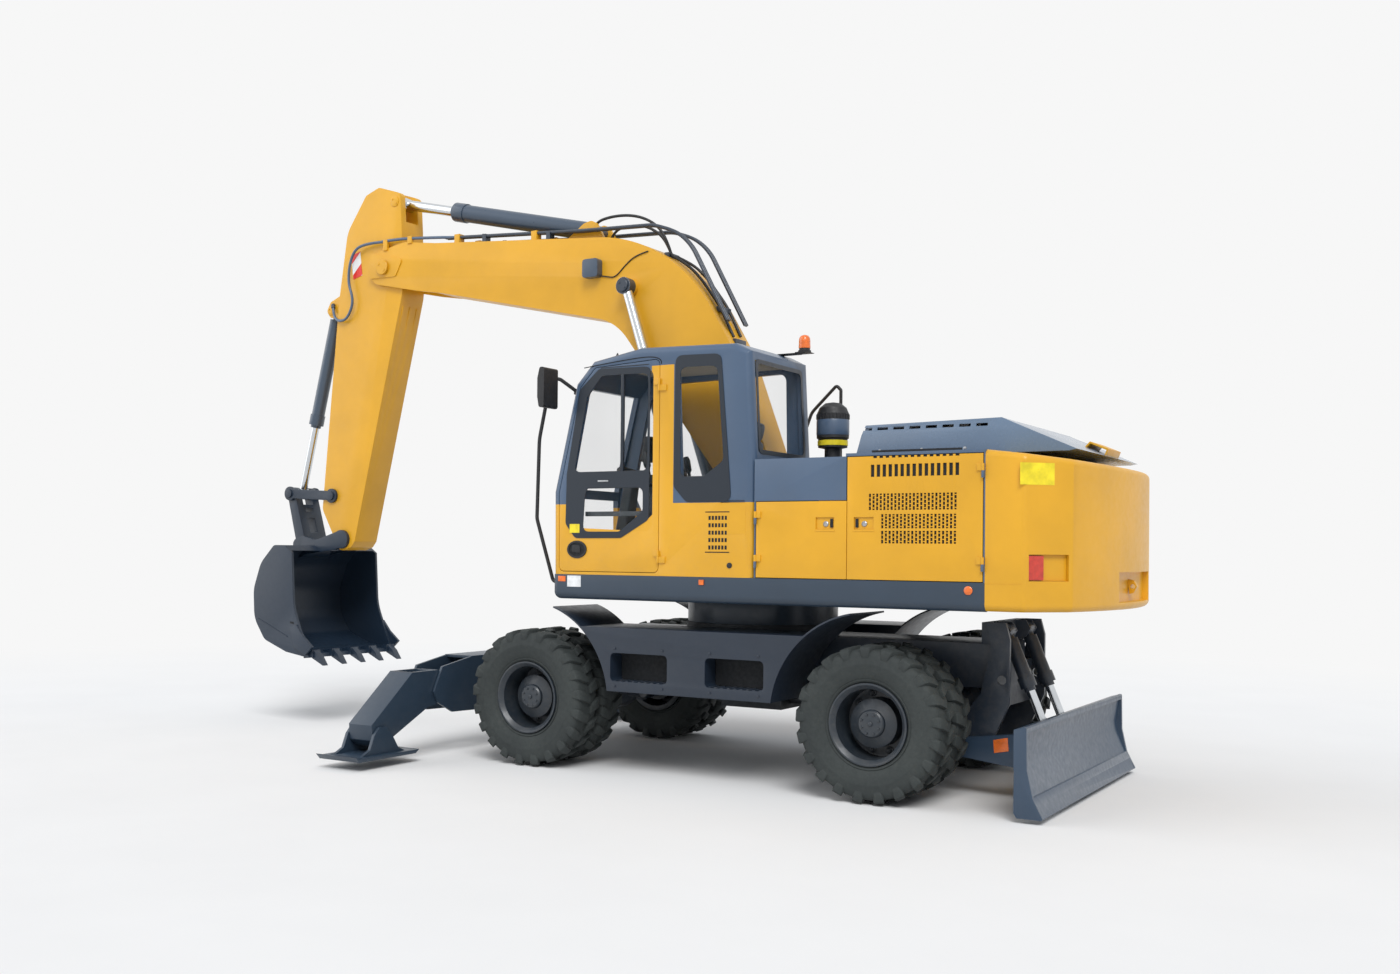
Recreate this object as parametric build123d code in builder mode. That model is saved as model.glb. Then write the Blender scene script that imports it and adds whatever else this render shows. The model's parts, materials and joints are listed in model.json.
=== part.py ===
"""Wheeled excavator with twin tyres, side outriggers at the front and a dozer blade at the rear.

X points forward, Y to the left and Z up, in millimetres.  Every piece is drawn about the slew axis,
with the ground at Z = 0, and is moved back by ORIGIN_AHEAD when it is written.
"""
import os
from math import copysign, cos, hypot, radians, sin, sqrt

from build123d import *

# ---------------------------------------------------------------- driving sizes
ORIGIN_AHEAD = 1156      # the part's origin lies this far ahead of the slew axis
WHEELBASE = 2800
AXLE_SPREAD = WHEELBASE / 2
TYRE_R = 527.5
TYRE_W = 275
TYRE_LUG = 22
TWIN_PITCH = 318         # between the middles of two twin tyres
TRACK_HALF = 949         # slew axis to the middle of a twin pair
RIM_R = 275
KINGPIN_Y = 500

FRAME_HALF = 330
FRAME_TOP = 1040
FRAME_BOTTOM = 640
ARCH_BOTTOM = 730        # underside of the frame above an axle
BODY_HALF = 1250         # half width of the upper body and of the blade
BOX_OUTER = 1200
BOX_INNER = 600
BOX_TOP = 1090
BOX_BOTTOM = 620
ARCH_R = 730

DECK_TOP = 1480
DECK_BOTTOM = 1295
DECK_FRONT = 1150
DECK_BACK = -2190
TAIL_R = 2850
HOUSE_TOP = 2320
DOOR_T = 40              # depth of a side door's pressing

CAB_RIGHT = 350
CAB_BACK = -560
CAB_WALL = 45

SEAM = 5                 # gap between a door and what stands round it
PIN_GAP = 0.5            # side gap at a pin or rod
FIT = 0.3                # gap between pieces seated on one another

# Pin centres of the working equipment: x and z in the side view.
BOOM_FOOT = (-150, 1930)
BOOM_TIP = (BOOM_FOOT[0] + 4031, BOOM_FOOT[1] + 2344)
BOOM_CYL_FOOT = (BOOM_FOOT[0] + 544, BOOM_FOOT[1] - 360)
BOOM_CYL_EYE = (BOOM_FOOT[0] + 1294, BOOM_FOOT[1] + 1896)
STICK_CYL_FOOT = (BOOM_TIP[0] - 2266, BOOM_TIP[1] + 101)
STICK_CYL_EYE = (BOOM_TIP[0] - 95, BOOM_TIP[1] + 616)
BUCKET_PIN = (BOOM_TIP[0] + 519, BOOM_TIP[1] - 2530)
BUCKET_CYL_FOOT = (BOOM_TIP[0] + 759, BOOM_TIP[1] - 324)
ROCKER_PIN = (BUCKET_PIN[0] + 140, BUCKET_PIN[1] + 416)
LINK_TOP = (ROCKER_PIN[0] + 560, ROCKER_PIN[1] + 30)
LINK_LOW = (BUCKET_PIN[0] + 557, BUCKET_PIN[1] - 52)

BOOM_HALF = 185
STICK_HALF = 150
EAR_T = 35
BOOM_CYL_Y = 267
BUCKET_HALF = 575

os.makedirs("parts", exist_ok=True)


# ---------------------------------------------------------------- helpers
def write(piece, node):
    """Move a finished piece into the part's own frame, label it and write it."""
    placed = Pos(-ORIGIN_AHEAD, 0, 0) * piece
    placed.label = node
    export_step(placed, f"parts/{node}.step")


def face_of(points, plane):
    """A closed outline of straight lines on a plane."""
    with BuildSketch(plane) as outline:
        with BuildLine():
            Polyline(*points, close=True)
        make_face()
    return outline.sketch


def round_face(points, radii, plane):
    """A closed outline whose corners are rounded."""
    with BuildSketch(plane) as outline:
        with BuildLine():
            FilletPolyline(*points, radius=radii, close=True)
        make_face()
    return outline.sketch


def slab(points, y_low, y_high, mode=Mode.ADD, radii=None):
    """A side-view outline, x and z, carried across from y_low to y_high."""
    plane = Plane.XZ.offset(-y_high)
    face = face_of(points, plane) if radii is None else round_face(points, radii, plane)
    extrude(face, amount=y_high - y_low, mode=mode)


def bar(points, x_low, x_high, mode=Mode.ADD):
    """A front-view outline, y and z, carried along from x_low to x_high."""
    extrude(face_of(points, Plane.YZ.offset(x_low)), amount=x_high - x_low, mode=mode)


def block(x_low, x_high, y_low, y_high, z_low, z_high, mode=Mode.ADD):
    """A plain block between two corners."""
    with Locations(((x_low + x_high) / 2, (y_low + y_high) / 2, (z_low + z_high) / 2)):
        Box(x_high - x_low, y_high - y_low, z_high - z_low, mode=mode)


def drum(centre, radius, y_low, y_high, mode=Mode.ADD):
    """A cylinder across the machine, centred on a pin given as x and z."""
    with Locations(Location((centre[0], (y_low + y_high) / 2, centre[1]), (90, 0, 0))):
        Cylinder(radius, y_high - y_low, mode=mode)


def about(pin, offsets):
    """Points given by their offsets from a pin."""
    return [(pin[0] + dx, pin[1] + dz) for dx, dz in offsets]


def tube(points, bends, radius):
    """A round tube along straight runs joined by bends."""
    with BuildLine() as route:
        FilletPolyline(*points, radius=bends)
    with BuildSketch(Plane(origin=route.line @ 0, z_dir=route.line % 0)) as section:
        Circle(radius)
    sweep(section.sketch, path=route.line)


def along(start, end, distance):
    """The point at a distance from start on the way to end."""
    length = hypot(end[0] - start[0], end[1] - start[1])
    return (start[0] + (end[0] - start[0]) * distance / length,
            start[1] + (end[1] - start[1]) * distance / length)


def reach(start, end):
    """The distance between two pins."""
    return hypot(end[0] - start[0], end[1] - start[1])


def rod_between(start, end, radius, y, mode=Mode.ADD):
    """A round bar between two points of the side view, in the plane at y."""
    plane = Plane(origin=(start[0], y, start[1]), z_dir=(end[0] - start[0], 0, end[1] - start[1]))
    with BuildSketch(plane) as section:
        Circle(radius)
    extrude(section.sketch, amount=reach(start, end), mode=mode)


def both_sides(y_low, y_high):
    """The two mirrored spans across the machine."""
    return ((y_low, y_high), (-y_high, -y_low))


# ---------------------------------------------------------------- wheels
HUB_Z = TYRE_R
HUB_INNER = -250         # the hub's inner face, from the middle of the twin pair
STUDS = 10
STUD_CIRCLE = 200
STUD_R, STUD_OUT = 14, 32
LUGS = 10                # lugs in each of a tyre's two staggered rows
LUG_SLANT = 24
LUG_ROW = 64             # from the tyre's middle to the middle of a row of lugs
LUG_THICK, LUG_LONG = 88, 118
SHOULDER = 32            # width of the tread's bevelled edge
SIDEWALL_R = 420


def make_tyres():
    """A twin pair about the Z axis; each tyre has one flat for every lug of its two rows."""
    floor = TYRE_R - TYRE_LUG
    half = TYRE_W / 2
    flats = 2 * LUGS
    slant = radians(LUG_SLANT)
    lug_top = sqrt(TYRE_R ** 2 - ((LUG_THICK * cos(slant) + LUG_LONG * sin(slant)) / 2) ** 2)
    with BuildPart() as tyre:
        with BuildSketch(Plane.XY.offset(-half)) as ring:
            RegularPolygon(floor, flats, major_radius=False)
            RegularPolygon(RIM_R + FIT, flats, major_radius=False, mode=Mode.SUBTRACT)
        extrude(ring.sketch, amount=TYRE_W)
        for z in (-half, half):
            sidewall = tyre.faces().filter_by_position(Axis.Z, z - 1, z + 1)[0]
            chamfer(sidewall.outer_wire().edges(), floor - SIDEWALL_R, SHOULDER, reference=sidewall)
        for index in range(flats):
            side = 1 if index % 2 else -1
            at = Location((0, 0, 0), (0, 0, 360 * (index + 0.5) / flats)) * Location(
                ((lug_top + SIDEWALL_R) / 2, 0, side * LUG_ROW), (side * LUG_SLANT, 0, 0))
            with Locations(at):
                Box(lug_top - SIDEWALL_R, LUG_THICK, LUG_LONG)
    return Part(children=[Pos(0, 0, side * TWIN_PITCH / 2) * tyre.part for side in (-1, 1)])


def make_rims():
    """A twin pair of rims with its disc and planetary hub, outer side towards +Z."""
    inner = RIM_R - 40
    hub, neck, bell = RIM_R - 181, RIM_R - 110, RIM_R - 95
    mouth = TWIN_PITCH / 2 + 120
    half_section = [(0, 225), (hub - 12, 225), (hub, 213), (hub, 190), (neck, 165), (neck, 25), (inner, 25),
                    (inner, mouth - 30), (RIM_R - 12, mouth), (RIM_R, mouth), (RIM_R, -mouth),
                    (inner, -mouth), (inner, 0), (bell, 0), (bell, HUB_INNER), (0, HUB_INNER)]
    with BuildPart() as rims:
        with BuildSketch(Plane.XZ) as section:
            with BuildLine():
                Polyline(*half_section, close=True)
            make_face()
        revolve(section.sketch, axis=Axis.Z)
        with PolarLocations(STUD_CIRCLE, STUDS):
            with Locations((0, 0, 25 + STUD_OUT / 2)):
                Cylinder(STUD_R, STUD_OUT)
    return rims.part


tyre_pair = make_tyres()
rim_pair = make_rims()
# name, x of the axle, side
WHEELS = (("front_left", AXLE_SPREAD, 1), ("front_right", AXLE_SPREAD, -1),
          ("rear_left", -AXLE_SPREAD, 1), ("rear_right", -AXLE_SPREAD, -1))
for name, x, side in WHEELS:
    hub = Plane(origin=(x, side * TRACK_HALF, HUB_Z), x_dir=(1, 0, 0), z_dir=(0, side, 0)).location
    write(hub * tyre_pair, f"tyres_{name}")
    write(hub * rim_pair, f"rims_{name}")

# ---------------------------------------------------------------- axles and steering
HUB_FACE = TRACK_HALF + HUB_INNER - PIN_GAP   # where an axle or knuckle meets its hub
DIFF_R = 185
NOSE = 300               # the differential's nose, from the axle towards the gearbox
YOKE_Z = 106             # half height between the ears of a steering yoke
ARM = 190                # steering arm, kingpin to ball
ARM_Y = KINGPIN_Y - 40

with BuildPart() as rear_axle:
    half_axle = [(0, -HUB_FACE), (150, -HUB_FACE), (150, -HUB_FACE + 40), (98, -HUB_FACE + 70),
                 (110, -300), (DIFF_R, -120), (DIFF_R, 120), (110, 300),
                 (98, HUB_FACE - 70), (150, HUB_FACE - 40), (150, HUB_FACE), (0, HUB_FACE)]
    with BuildSketch(Plane(origin=(-AXLE_SPREAD, 0, HUB_Z), x_dir=(1, 0, 0), z_dir=(0, 0, -1))) as sk:
        with BuildLine():
            Polyline(*half_axle, close=True)
        make_face()
    revolve(sk.sketch, axis=Axis((-AXLE_SPREAD, 0, HUB_Z), (0, 1, 0)))
    with Locations(Location((-AXLE_SPREAD + NOSE / 2, 0, HUB_Z), (0, 90, 0))):
        Cylinder(85, NOSE)
    for y_low, y_high in both_sides(200, 290):
        block(-AXLE_SPREAD - 90, -AXLE_SPREAD + 90, y_low, y_high, HUB_Z, ARCH_BOTTOM)
write(rear_axle.part, "rear_axle")

with BuildPart() as front_axle:
    half_axle = [(0, -375), (100, -375), (110, -300), (DIFF_R, -120), (DIFF_R, 120), (110, 300),
                 (100, 375), (0, 375)]
    with BuildSketch(Plane(origin=(AXLE_SPREAD, 0, HUB_Z), x_dir=(1, 0, 0), z_dir=(0, 0, -1))) as sk:
        with BuildLine():
            Polyline(*half_axle, close=True)
        make_face()
    revolve(sk.sketch, axis=Axis((AXLE_SPREAD, 0, HUB_Z), (0, 1, 0)))
    with Locations(Location((AXLE_SPREAD - NOSE / 2, 0, HUB_Z), (0, 90, 0))):
        Cylinder(85, NOSE)
    for y_low, y_high in both_sides(360, 400):
        block(AXLE_SPREAD - 80, AXLE_SPREAD + 80, y_low, y_high, HUB_Z - 150, HUB_Z + 150)
    for side in (-1, 1):
        for z in (-YOKE_Z - 17, YOKE_Z + 17):
            with Locations((AXLE_SPREAD, side * KINGPIN_Y, HUB_Z + z)):
                Cylinder(78, 34)
            with Locations((AXLE_SPREAD, side * (KINGPIN_Y + 395) / 2, HUB_Z + z)):
                Box(156, KINGPIN_Y - 395, 34)
    with Locations((AXLE_SPREAD, 0, (HUB_Z + ARCH_BOTTOM) / 2)):
        Box(300, 230, ARCH_BOTTOM - HUB_Z)
    drum((AXLE_SPREAD + ARM, HUB_Z), 42, -210, 210)
    for y_low, y_high in both_sides(90, 130):
        block(AXLE_SPREAD, AXLE_SPREAD + ARM, y_low, y_high, HUB_Z - 40, HUB_Z + 40)
    drum((AXLE_SPREAD + ARM, HUB_Z), 22.5, -215, 215, Mode.SUBTRACT)
write(front_axle.part, "front_axle")

for name, side in (("left", 1), ("right", -1)):
    with BuildPart() as knuckle:
        with Locations((AXLE_SPREAD, side * KINGPIN_Y, HUB_Z)):
            Cylinder(76, 2 * (YOKE_Z - PIN_GAP))
        spindle = [(0, 0), (68, 0), (95, 110), (150, 150), (150, HUB_FACE - KINGPIN_Y),
                   (0, HUB_FACE - KINGPIN_Y)]
        with BuildSketch(Plane(origin=(AXLE_SPREAD, side * KINGPIN_Y, HUB_Z), x_dir=(1, 0, 0),
                               z_dir=(0, 0, side))) as sk:
            with BuildLine():
                Polyline(*spindle, close=True)
            make_face()
        revolve(sk.sketch, axis=Axis((AXLE_SPREAD, side * KINGPIN_Y, HUB_Z), (0, side, 0)))
        with Locations((AXLE_SPREAD + ARM / 2, side * (ARM_Y + 18), HUB_Z - 45)):
            Box(ARM, 50, 40)
        with Locations((AXLE_SPREAD + ARM, side * ARM_Y, HUB_Z - 45)):
            Cylinder(36, 40)
    write(knuckle.part, f"knuckle_{name}")

with BuildPart() as steer_rod:
    drum((AXLE_SPREAD + ARM, HUB_Z), 22, -ARM_Y, ARM_Y)
    for side in (-1, 1):
        with Locations((AXLE_SPREAD + ARM, side * ARM_Y, HUB_Z)):
            Cylinder(34, 50 - 2 * PIN_GAP)
write(steer_rod.part, "steer_rod")

# ---------------------------------------------------------------- chassis
FRAME_FRONT = 2265
FRAME_BACK = -1980

with BuildPart() as chassis_frame:
    side_view = [(FRAME_BACK, FRAME_TOP), (FRAME_BACK, ARCH_BOTTOM), (-AXLE_SPREAD + 330, ARCH_BOTTOM),
                 (-900, FRAME_BOTTOM), (900, FRAME_BOTTOM), (AXLE_SPREAD - 330, ARCH_BOTTOM),
                 (FRAME_FRONT, ARCH_BOTTOM), (FRAME_FRONT, FRAME_TOP - 160),
                 (AXLE_SPREAD + 250, FRAME_TOP - 160), (AXLE_SPREAD - 100, FRAME_TOP)]
    slab(side_view, -FRAME_HALF, FRAME_HALF)
    with Locations((0, 0, (FRAME_TOP + FRAME_BOTTOM) / 2 + 60)):
        Cylinder(600, FRAME_TOP - FRAME_BOTTOM - 120)
    for y_low, y_high in both_sides(FRAME_HALF, BOX_INNER):
        block(-450, 450, y_low, y_high, 700, FRAME_TOP)
write(chassis_frame.part, "chassis_frame")

RING_OUTER = 600
RING_SPLIT = 1115
with BuildPart() as slew_ring:
    with Locations((0, 0, (FRAME_TOP + RING_SPLIT) / 2)):
        Cylinder(RING_OUTER, RING_SPLIT - FRAME_TOP)
        Cylinder(RING_OUTER - 90, RING_SPLIT - FRAME_TOP, mode=Mode.SUBTRACT)
write(slew_ring.part, "slew_ring")

FENDER_T = 12
# axle x, angle where the sheet leaves the box and where it ends, as seen from the left
FENDERS = ((AXLE_SPREAD, 108, 140), (-AXLE_SPREAD, 79, 40))
POCKETS = ((157, 646), (-621, -156))
POCKET_LOW, POCKET_HIGH = 695, 905

STEER_CLEAR = 10         # room left round a steered wheel


def steer_sweep(side):
    """The space that a steered pair of wheels sweeps about its kingpin."""
    rise = TYRE_R + STEER_CLEAR
    radius = hypot(rise, TRACK_HALF - KINGPIN_Y + (TWIN_PITCH + TYRE_W) / 2 + STEER_CLEAR)
    ball = Pos(AXLE_SPREAD, side * KINGPIN_Y, HUB_Z) * Sphere(radius)
    below = Pos(AXLE_SPREAD, side * KINGPIN_Y, HUB_Z + (rise - radius) / 2) * Box(
        2 * radius, 2 * radius, rise + radius)
    return ball & below


sweeps = [steer_sweep(side) for side in (-1, 1)]
with BuildPart() as side_boxes:
    for y_low, y_high in both_sides(BOX_INNER, BOX_OUTER):
        block(-940, 940, y_low, y_high, BOX_BOTTOM, BOX_TOP)
    for axle_x, angle_a, angle_b in FENDERS:
        for y_low, y_high in both_sides(BOX_INNER, BOX_OUTER):
            with BuildSketch(Plane.XZ.offset(-y_high)) as sheet:
                with BuildLine():
                    first, last = min(angle_a, angle_b), max(angle_a, angle_b)
                    outer = CenterArc((axle_x, HUB_Z), ARCH_R + FENDER_T, first, last - first)
                    inner = CenterArc((axle_x, HUB_Z), ARCH_R, first, last - first)
                    Line(outer @ 0, inner @ 0)
                    Line(outer @ 1, inner @ 1)
                make_face()
            extrude(sheet.sketch, amount=y_high - y_low)
    for axle_x in (-AXLE_SPREAD, AXLE_SPREAD):
        drum((axle_x, HUB_Z), ARCH_R, -BOX_OUTER - 50, BOX_OUTER + 50, Mode.SUBTRACT)
    add(sweeps, mode=Mode.SUBTRACT)
    for x_low, x_high in POCKETS:
        for y_low, y_high in both_sides(BOX_OUTER - 160, BOX_OUTER):
            window = [(x_low, POCKET_LOW), (x_high, POCKET_LOW), (x_high, POCKET_HIGH), (x_low, POCKET_HIGH)]
            slab(window, y_low, y_high, Mode.SUBTRACT, 35)
write(side_boxes.part, "side_boxes")

with BuildPart() as driveline:
    block(-260, 260, -190, 190, 450, FRAME_BOTTOM)
    for x_low, x_high in ((-AXLE_SPREAD + NOSE, -260), (260, AXLE_SPREAD - NOSE)):
        with Locations(Location(((x_low + x_high) / 2, 0, HUB_Z), (0, 90, 0))):
            Cylinder(42, x_high - x_low)
write(driveline.part, "driveline")

# ---------------------------------------------------------------- outriggers
BEAM_BACK = FRAME_FRONT
BEAM_FRONT = BEAM_BACK + 290
BEAM_PLATE = 22
BEAM_TOP = 780
LEG_PIN = (1180, 520)    # y and z of a leg's pivot
FOOT_PIN = (1880, 232)   # y and z of a foot's pivot
LEG_BACK = BEAM_BACK + BEAM_PLATE + SEAM
LEG_FRONT = BEAM_FRONT - BEAM_PLATE - SEAM
PAD_LOW, PAD_TOP = 70, 98
TOW_X, TOW_Z, TOW_T = BEAM_FRONT + 55, 560, 36
BOSS_T = SEAM - PIN_GAP

with BuildPart() as outrigger_beam:
    end_view = [(-1190, 715), (-800, BEAM_TOP), (800, BEAM_TOP), (1190, 715), (1290, 520), (1240, 430),
                (1060, 340), (700, 330), (-700, 330), (-1060, 340), (-1240, 430), (-1290, 520)]
    for x_low in (BEAM_BACK, BEAM_FRONT - BEAM_PLATE):
        bar(end_view, x_low, x_low + BEAM_PLATE)
    for side in (-1, 1):
        for x_low in (BEAM_BACK + BEAM_PLATE, LEG_FRONT + PIN_GAP):
            with Locations(Location((x_low + BOSS_T / 2, side * LEG_PIN[0], LEG_PIN[1]), (0, 90, 0))):
                Cylinder(75, BOSS_T)
    block(BEAM_BACK, BEAM_FRONT, -820, 820, BEAM_TOP - BEAM_PLATE, BEAM_TOP)
    block(BEAM_BACK, BEAM_FRONT, -640, 640, 330, BEAM_TOP)
    tow = [(BEAM_FRONT - 5, TOW_Z - 90), (TOW_X, TOW_Z - 60), (TOW_X + 60, TOW_Z), (TOW_X, TOW_Z + 60),
           (BEAM_FRONT - 5, TOW_Z + 90)]
    slab(tow, -TOW_T / 2, TOW_T / 2)
    drum((TOW_X, TOW_Z), 32, -TOW_T, TOW_T, Mode.SUBTRACT)
write(outrigger_beam.part, "outrigger_beam")

for name, side in (("left", 1), ("right", -1)):
    with BuildPart() as leg:
        outline = [(1085, 530), (1110, 620), (1210, 690), (1520, 690), (1975, 320), (1965, 200),
                   (1900, 150), (1790, 180), (1330, 400), (1150, 425)]
        bar([(side * y, z) for y, z in outline], LEG_BACK, LEG_FRONT)
        block(LEG_BACK + 30, LEG_FRONT - 30, min(side * 1500, side * 1240), max(side * 1500, side * 1240),
              560, 700, Mode.SUBTRACT)
    write(leg.part, f"outrigger_leg_{name}")
    with BuildPart() as foot:
        pad = [(1530, 100), (1570, PAD_LOW), (2190, PAD_LOW), (2230, 112), (2190, PAD_TOP),
               (1570, PAD_TOP)]
        bar([(side * y, z) for y, z in pad], BEAM_BACK - 60, BEAM_FRONT + 60)
        ear = [(1640, PAD_TOP), (1710, 130), (1780, 235), (1840, 300), (1920, 300), (1975, 245),
               (2020, 140), (2110, PAD_TOP)]
        for x_low in (LEG_BACK - SEAM - 26, LEG_FRONT + SEAM):
            bar([(side * y, z) for y, z in ear], x_low, x_low + 26)
        for x_low in (LEG_BACK - SEAM, LEG_FRONT + PIN_GAP):
            with Locations(Location((x_low + BOSS_T / 2, side * FOOT_PIN[0], FOOT_PIN[1]), (0, 90, 0))):
                Cylinder(50, BOSS_T)
    write(foot.part, f"outrigger_foot_{name}")

# ---------------------------------------------------------------- dozer blade
ARM_PIN = (-1750, 330)   # x and z of the blade arms' pivot
EYE_R = 32               # bore of the tow and tie-down eyes
CHEEK_IN, CHEEK_OUT = 400, 430
CHEEK_TOP = FRAME_TOP + 150
TIE = (-2045, 800)       # x and z of the rear tie-down eyes
BLADE_CYL_TOP = (-2020, 1130)
BLADE_CYL_LOW = (-2300, 440)
BLADE_CYL_Y = 230
BLADE_ARM_Y = 480
BLADE_BACK = -2380
BLADE_EDGE = -2560
BLADE_LOW = 30
BLADE_TOP = 595

with BuildPart() as blade_bracket:
    cheek = [(-1700, 260), (-1660, 400), (-1900, 700), (FRAME_BACK + 10, FRAME_TOP), (-1930, CHEEK_TOP),
             (-2070, CHEEK_TOP), (-2100, 1080), (-2100, 640), (-1960, 330), (-1820, 250)]
    for y_low, y_high in both_sides(CHEEK_IN, CHEEK_OUT):
        slab(cheek, y_low, y_high)
    drum(TIE, EYE_R, -CHEEK_OUT - 5, CHEEK_OUT + 5, Mode.SUBTRACT)
    block(FRAME_BACK - 30, FRAME_BACK, -CHEEK_IN, CHEEK_IN, 600, 900)
    beam_face = BLADE_CYL_TOP[0] + 55
    block(beam_face, beam_face + 70, -CHEEK_IN, CHEEK_IN, FRAME_TOP + FIT, CHEEK_TOP)
    lug = about(BLADE_CYL_TOP, [(60, -80), (60, 60), (-15, 60), (-50, 0), (-15, -60)])
    for side_y in (-BLADE_CYL_Y, BLADE_CYL_Y):
        for y_low in (side_y - 57 - PIN_GAP - 22, side_y + 57 + PIN_GAP):
            slab(lug, y_low, y_low + 22)
write(blade_bracket.part, "blade_bracket")

with BuildPart() as blade:
    section = [(BLADE_BACK, BLADE_TOP - 20), (BLADE_BACK - 70, BLADE_TOP), (-2458, BLADE_TOP - 8),
               (-2458, BLADE_TOP - 38), (-2440, BLADE_TOP - 42), (-2422, 400), (-2428, 330),
               (-2486, 165), (-2499, 160), (BLADE_EDGE, 35), (-2550, BLADE_LOW),
               (-2480, 60), (-2420, 200), (BLADE_BACK, 330)]
    slab(section, -BODY_HALF, BODY_HALF)
    end_plate = [(BLADE_BACK - 5, BLADE_TOP - 30), (BLADE_BACK, 60), (-2400, BLADE_LOW),
                 (-2550, BLADE_LOW), (BLADE_EDGE, 40), (-2500, 155), (-2462, 330), (-2458, BLADE_TOP - 10),
                 (BLADE_BACK - 60, BLADE_TOP)]
    for y_low, y_high in both_sides(BODY_HALF - 28, BODY_HALF):
        slab(end_plate, y_low, y_high)
    arm = [(-1690, 300), (-1690, 380), (-1800, 400), (BLADE_BACK - 40, 480), (BLADE_BACK - 40, 190),
           (-1800, 265)]
    for y_low, y_high in both_sides(BLADE_ARM_Y - 45, BLADE_ARM_Y + 15):
        slab(arm, y_low, y_high)
        drum(ARM_PIN, 62, y_low, y_high)
    lug = [(BLADE_BACK - 30, 540)] + about(BLADE_CYL_LOW, [(10, 55), (48, 10), (35, -45)]) + [
        (BLADE_BACK - 40, 330)]
    for side_y in (-BLADE_CYL_Y, BLADE_CYL_Y):
        for y_low in (side_y - 57 - PIN_GAP - 22, side_y + 57 + PIN_GAP):
            slab(lug, y_low, y_low + 22)
write(blade.part, "blade")


GLAND = 9                # how far a gland's collar stands out of its barrel
NOSE_LONG = 26           # the gland's narrow nose past the collar


def cylinder_pair(foot, eye, barrel_length, rod_start, barrel_r, rod_r, eye_r, eye_half, offsets):
    """Barrels and rods of one or two parallel cylinders; rod_start is the piston's place at rest."""
    with BuildPart() as barrels:
        for y in offsets:
            drum(foot, eye_r, y - eye_half, y + eye_half)
            rod_between(along(foot, eye, eye_r * 0.5), along(foot, eye, eye_r * 1.5), barrel_r * 0.6, y)
            rod_between(along(foot, eye, eye_r * 1.4), along(foot, eye, barrel_length), barrel_r, y)
            rod_between(along(foot, eye, barrel_length - barrel_r * 1.6),
                        along(foot, eye, barrel_length), barrel_r + GLAND, y)
            rod_between(along(foot, eye, barrel_length - 1), along(foot, eye, barrel_length + NOSE_LONG),
                        (barrel_r + rod_r) / 2, y)
            rod_between(along(foot, eye, eye_r * 1.4 + 30), along(foot, eye, barrel_length + NOSE_LONG + 1),
                        rod_r + PIN_GAP, y, Mode.SUBTRACT)
    with BuildPart() as rods:
        for y in offsets:
            drum(eye, eye_r, y - eye_half, y + eye_half)
            rod_between(along(foot, eye, rod_start), along(eye, foot, eye_r * 0.5), rod_r, y)
    return barrels.part, rods.part


blade_barrels, blade_rods = cylinder_pair(BLADE_CYL_TOP, BLADE_CYL_LOW, 415, 336, 48, 30, 45, 57,
                                          (-BLADE_CYL_Y, BLADE_CYL_Y))
write(blade_barrels, "blade_cylinder_barrels")
write(blade_rods, "blade_cylinder_rods")

# ---------------------------------------------------------------- deck
BRACKET_T = 30
CORE_LOW = 1275          # underside of the deck between its side channels
EDGE_ROUND = 55          # rounding of the deck's outer channels
FOOT_HALF = BOOM_HALF + PIN_GAP

with BuildPart() as deck:
    block(DECK_BACK, DECK_FRONT, -BODY_HALF, BODY_HALF, DECK_TOP - 50, DECK_TOP)
    for y_low, y_high in both_sides(BODY_HALF - 60, BODY_HALF):
        block(DECK_BACK, DECK_FRONT, y_low, y_high, DECK_BOTTOM, DECK_TOP)
    block(DECK_FRONT - 60, DECK_FRONT, -BODY_HALF, BODY_HALF, DECK_BOTTOM, DECK_TOP)
    block(-1500, 1000, -480, 480, CORE_LOW, DECK_TOP)
    block(DECK_BACK, -1500, -480, 480, 1310, DECK_TOP)
    with Locations((0, 0, (RING_SPLIT + PIN_GAP + CORE_LOW) / 2)):
        Cylinder(RING_OUTER - 12, CORE_LOW - RING_SPLIT - PIN_GAP)
    bracket = [(-800, DECK_TOP), (-330, 1950), (-230, 2050), (-70, 2050), (20, 1950),
               (250, 1640), (300, DECK_TOP)]
    for y_low, y_high in both_sides(FOOT_HALF, FOOT_HALF + BRACKET_T):
        slab(bracket, y_low, y_high)
    lug = [(290, DECK_TOP), (330, 1620), (460, 1620), (500, DECK_TOP)]
    for side_y in (-BOOM_CYL_Y, BOOM_CYL_Y):
        for y_low in (side_y - 45 - PIN_GAP - 20, side_y + 45 + PIN_GAP):
            slab(lug, y_low, y_low + 20)
    skirt = deck.edges().filter_by(Axis.X).filter_by_position(Axis.Z, DECK_BOTTOM - 1, DECK_BOTTOM + 1)
    fillet([edge for edge in skirt if abs(abs(edge.center().Y) - BODY_HALF) < 1], EDGE_ROUND)
    nose = deck.edges().filter_by(Axis.Z).filter_by_position(Axis.X, DECK_FRONT - 1, DECK_FRONT + 1)
    fillet([edge for edge in nose if abs(abs(edge.center().Y) - BODY_HALF) < 1], EDGE_ROUND)
write(deck.part, "deck")

TAIL_ROUND = 45
TAIL_CORNER = -TAIL_R + 410                       # x where the side turns into the slanted corner
TAIL_FLAT = BODY_HALF - 250                       # y where that corner meets the round tail
LAMP_AT = (-TAIL_R + 295, BODY_HALF - 125)        # middle of that corner's face, x and y
LAMP_TURN = 47.5         # how far that corner is turned from the side
LAMP_Z = 1577
LAMP_RECESS, LAMP_T = 30, 18
LAMP_IN = LAMP_RECESS - LAMP_T / 2 - FIT    # from the corner's face to the lamp's middle
TOW_HALF = 430

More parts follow.
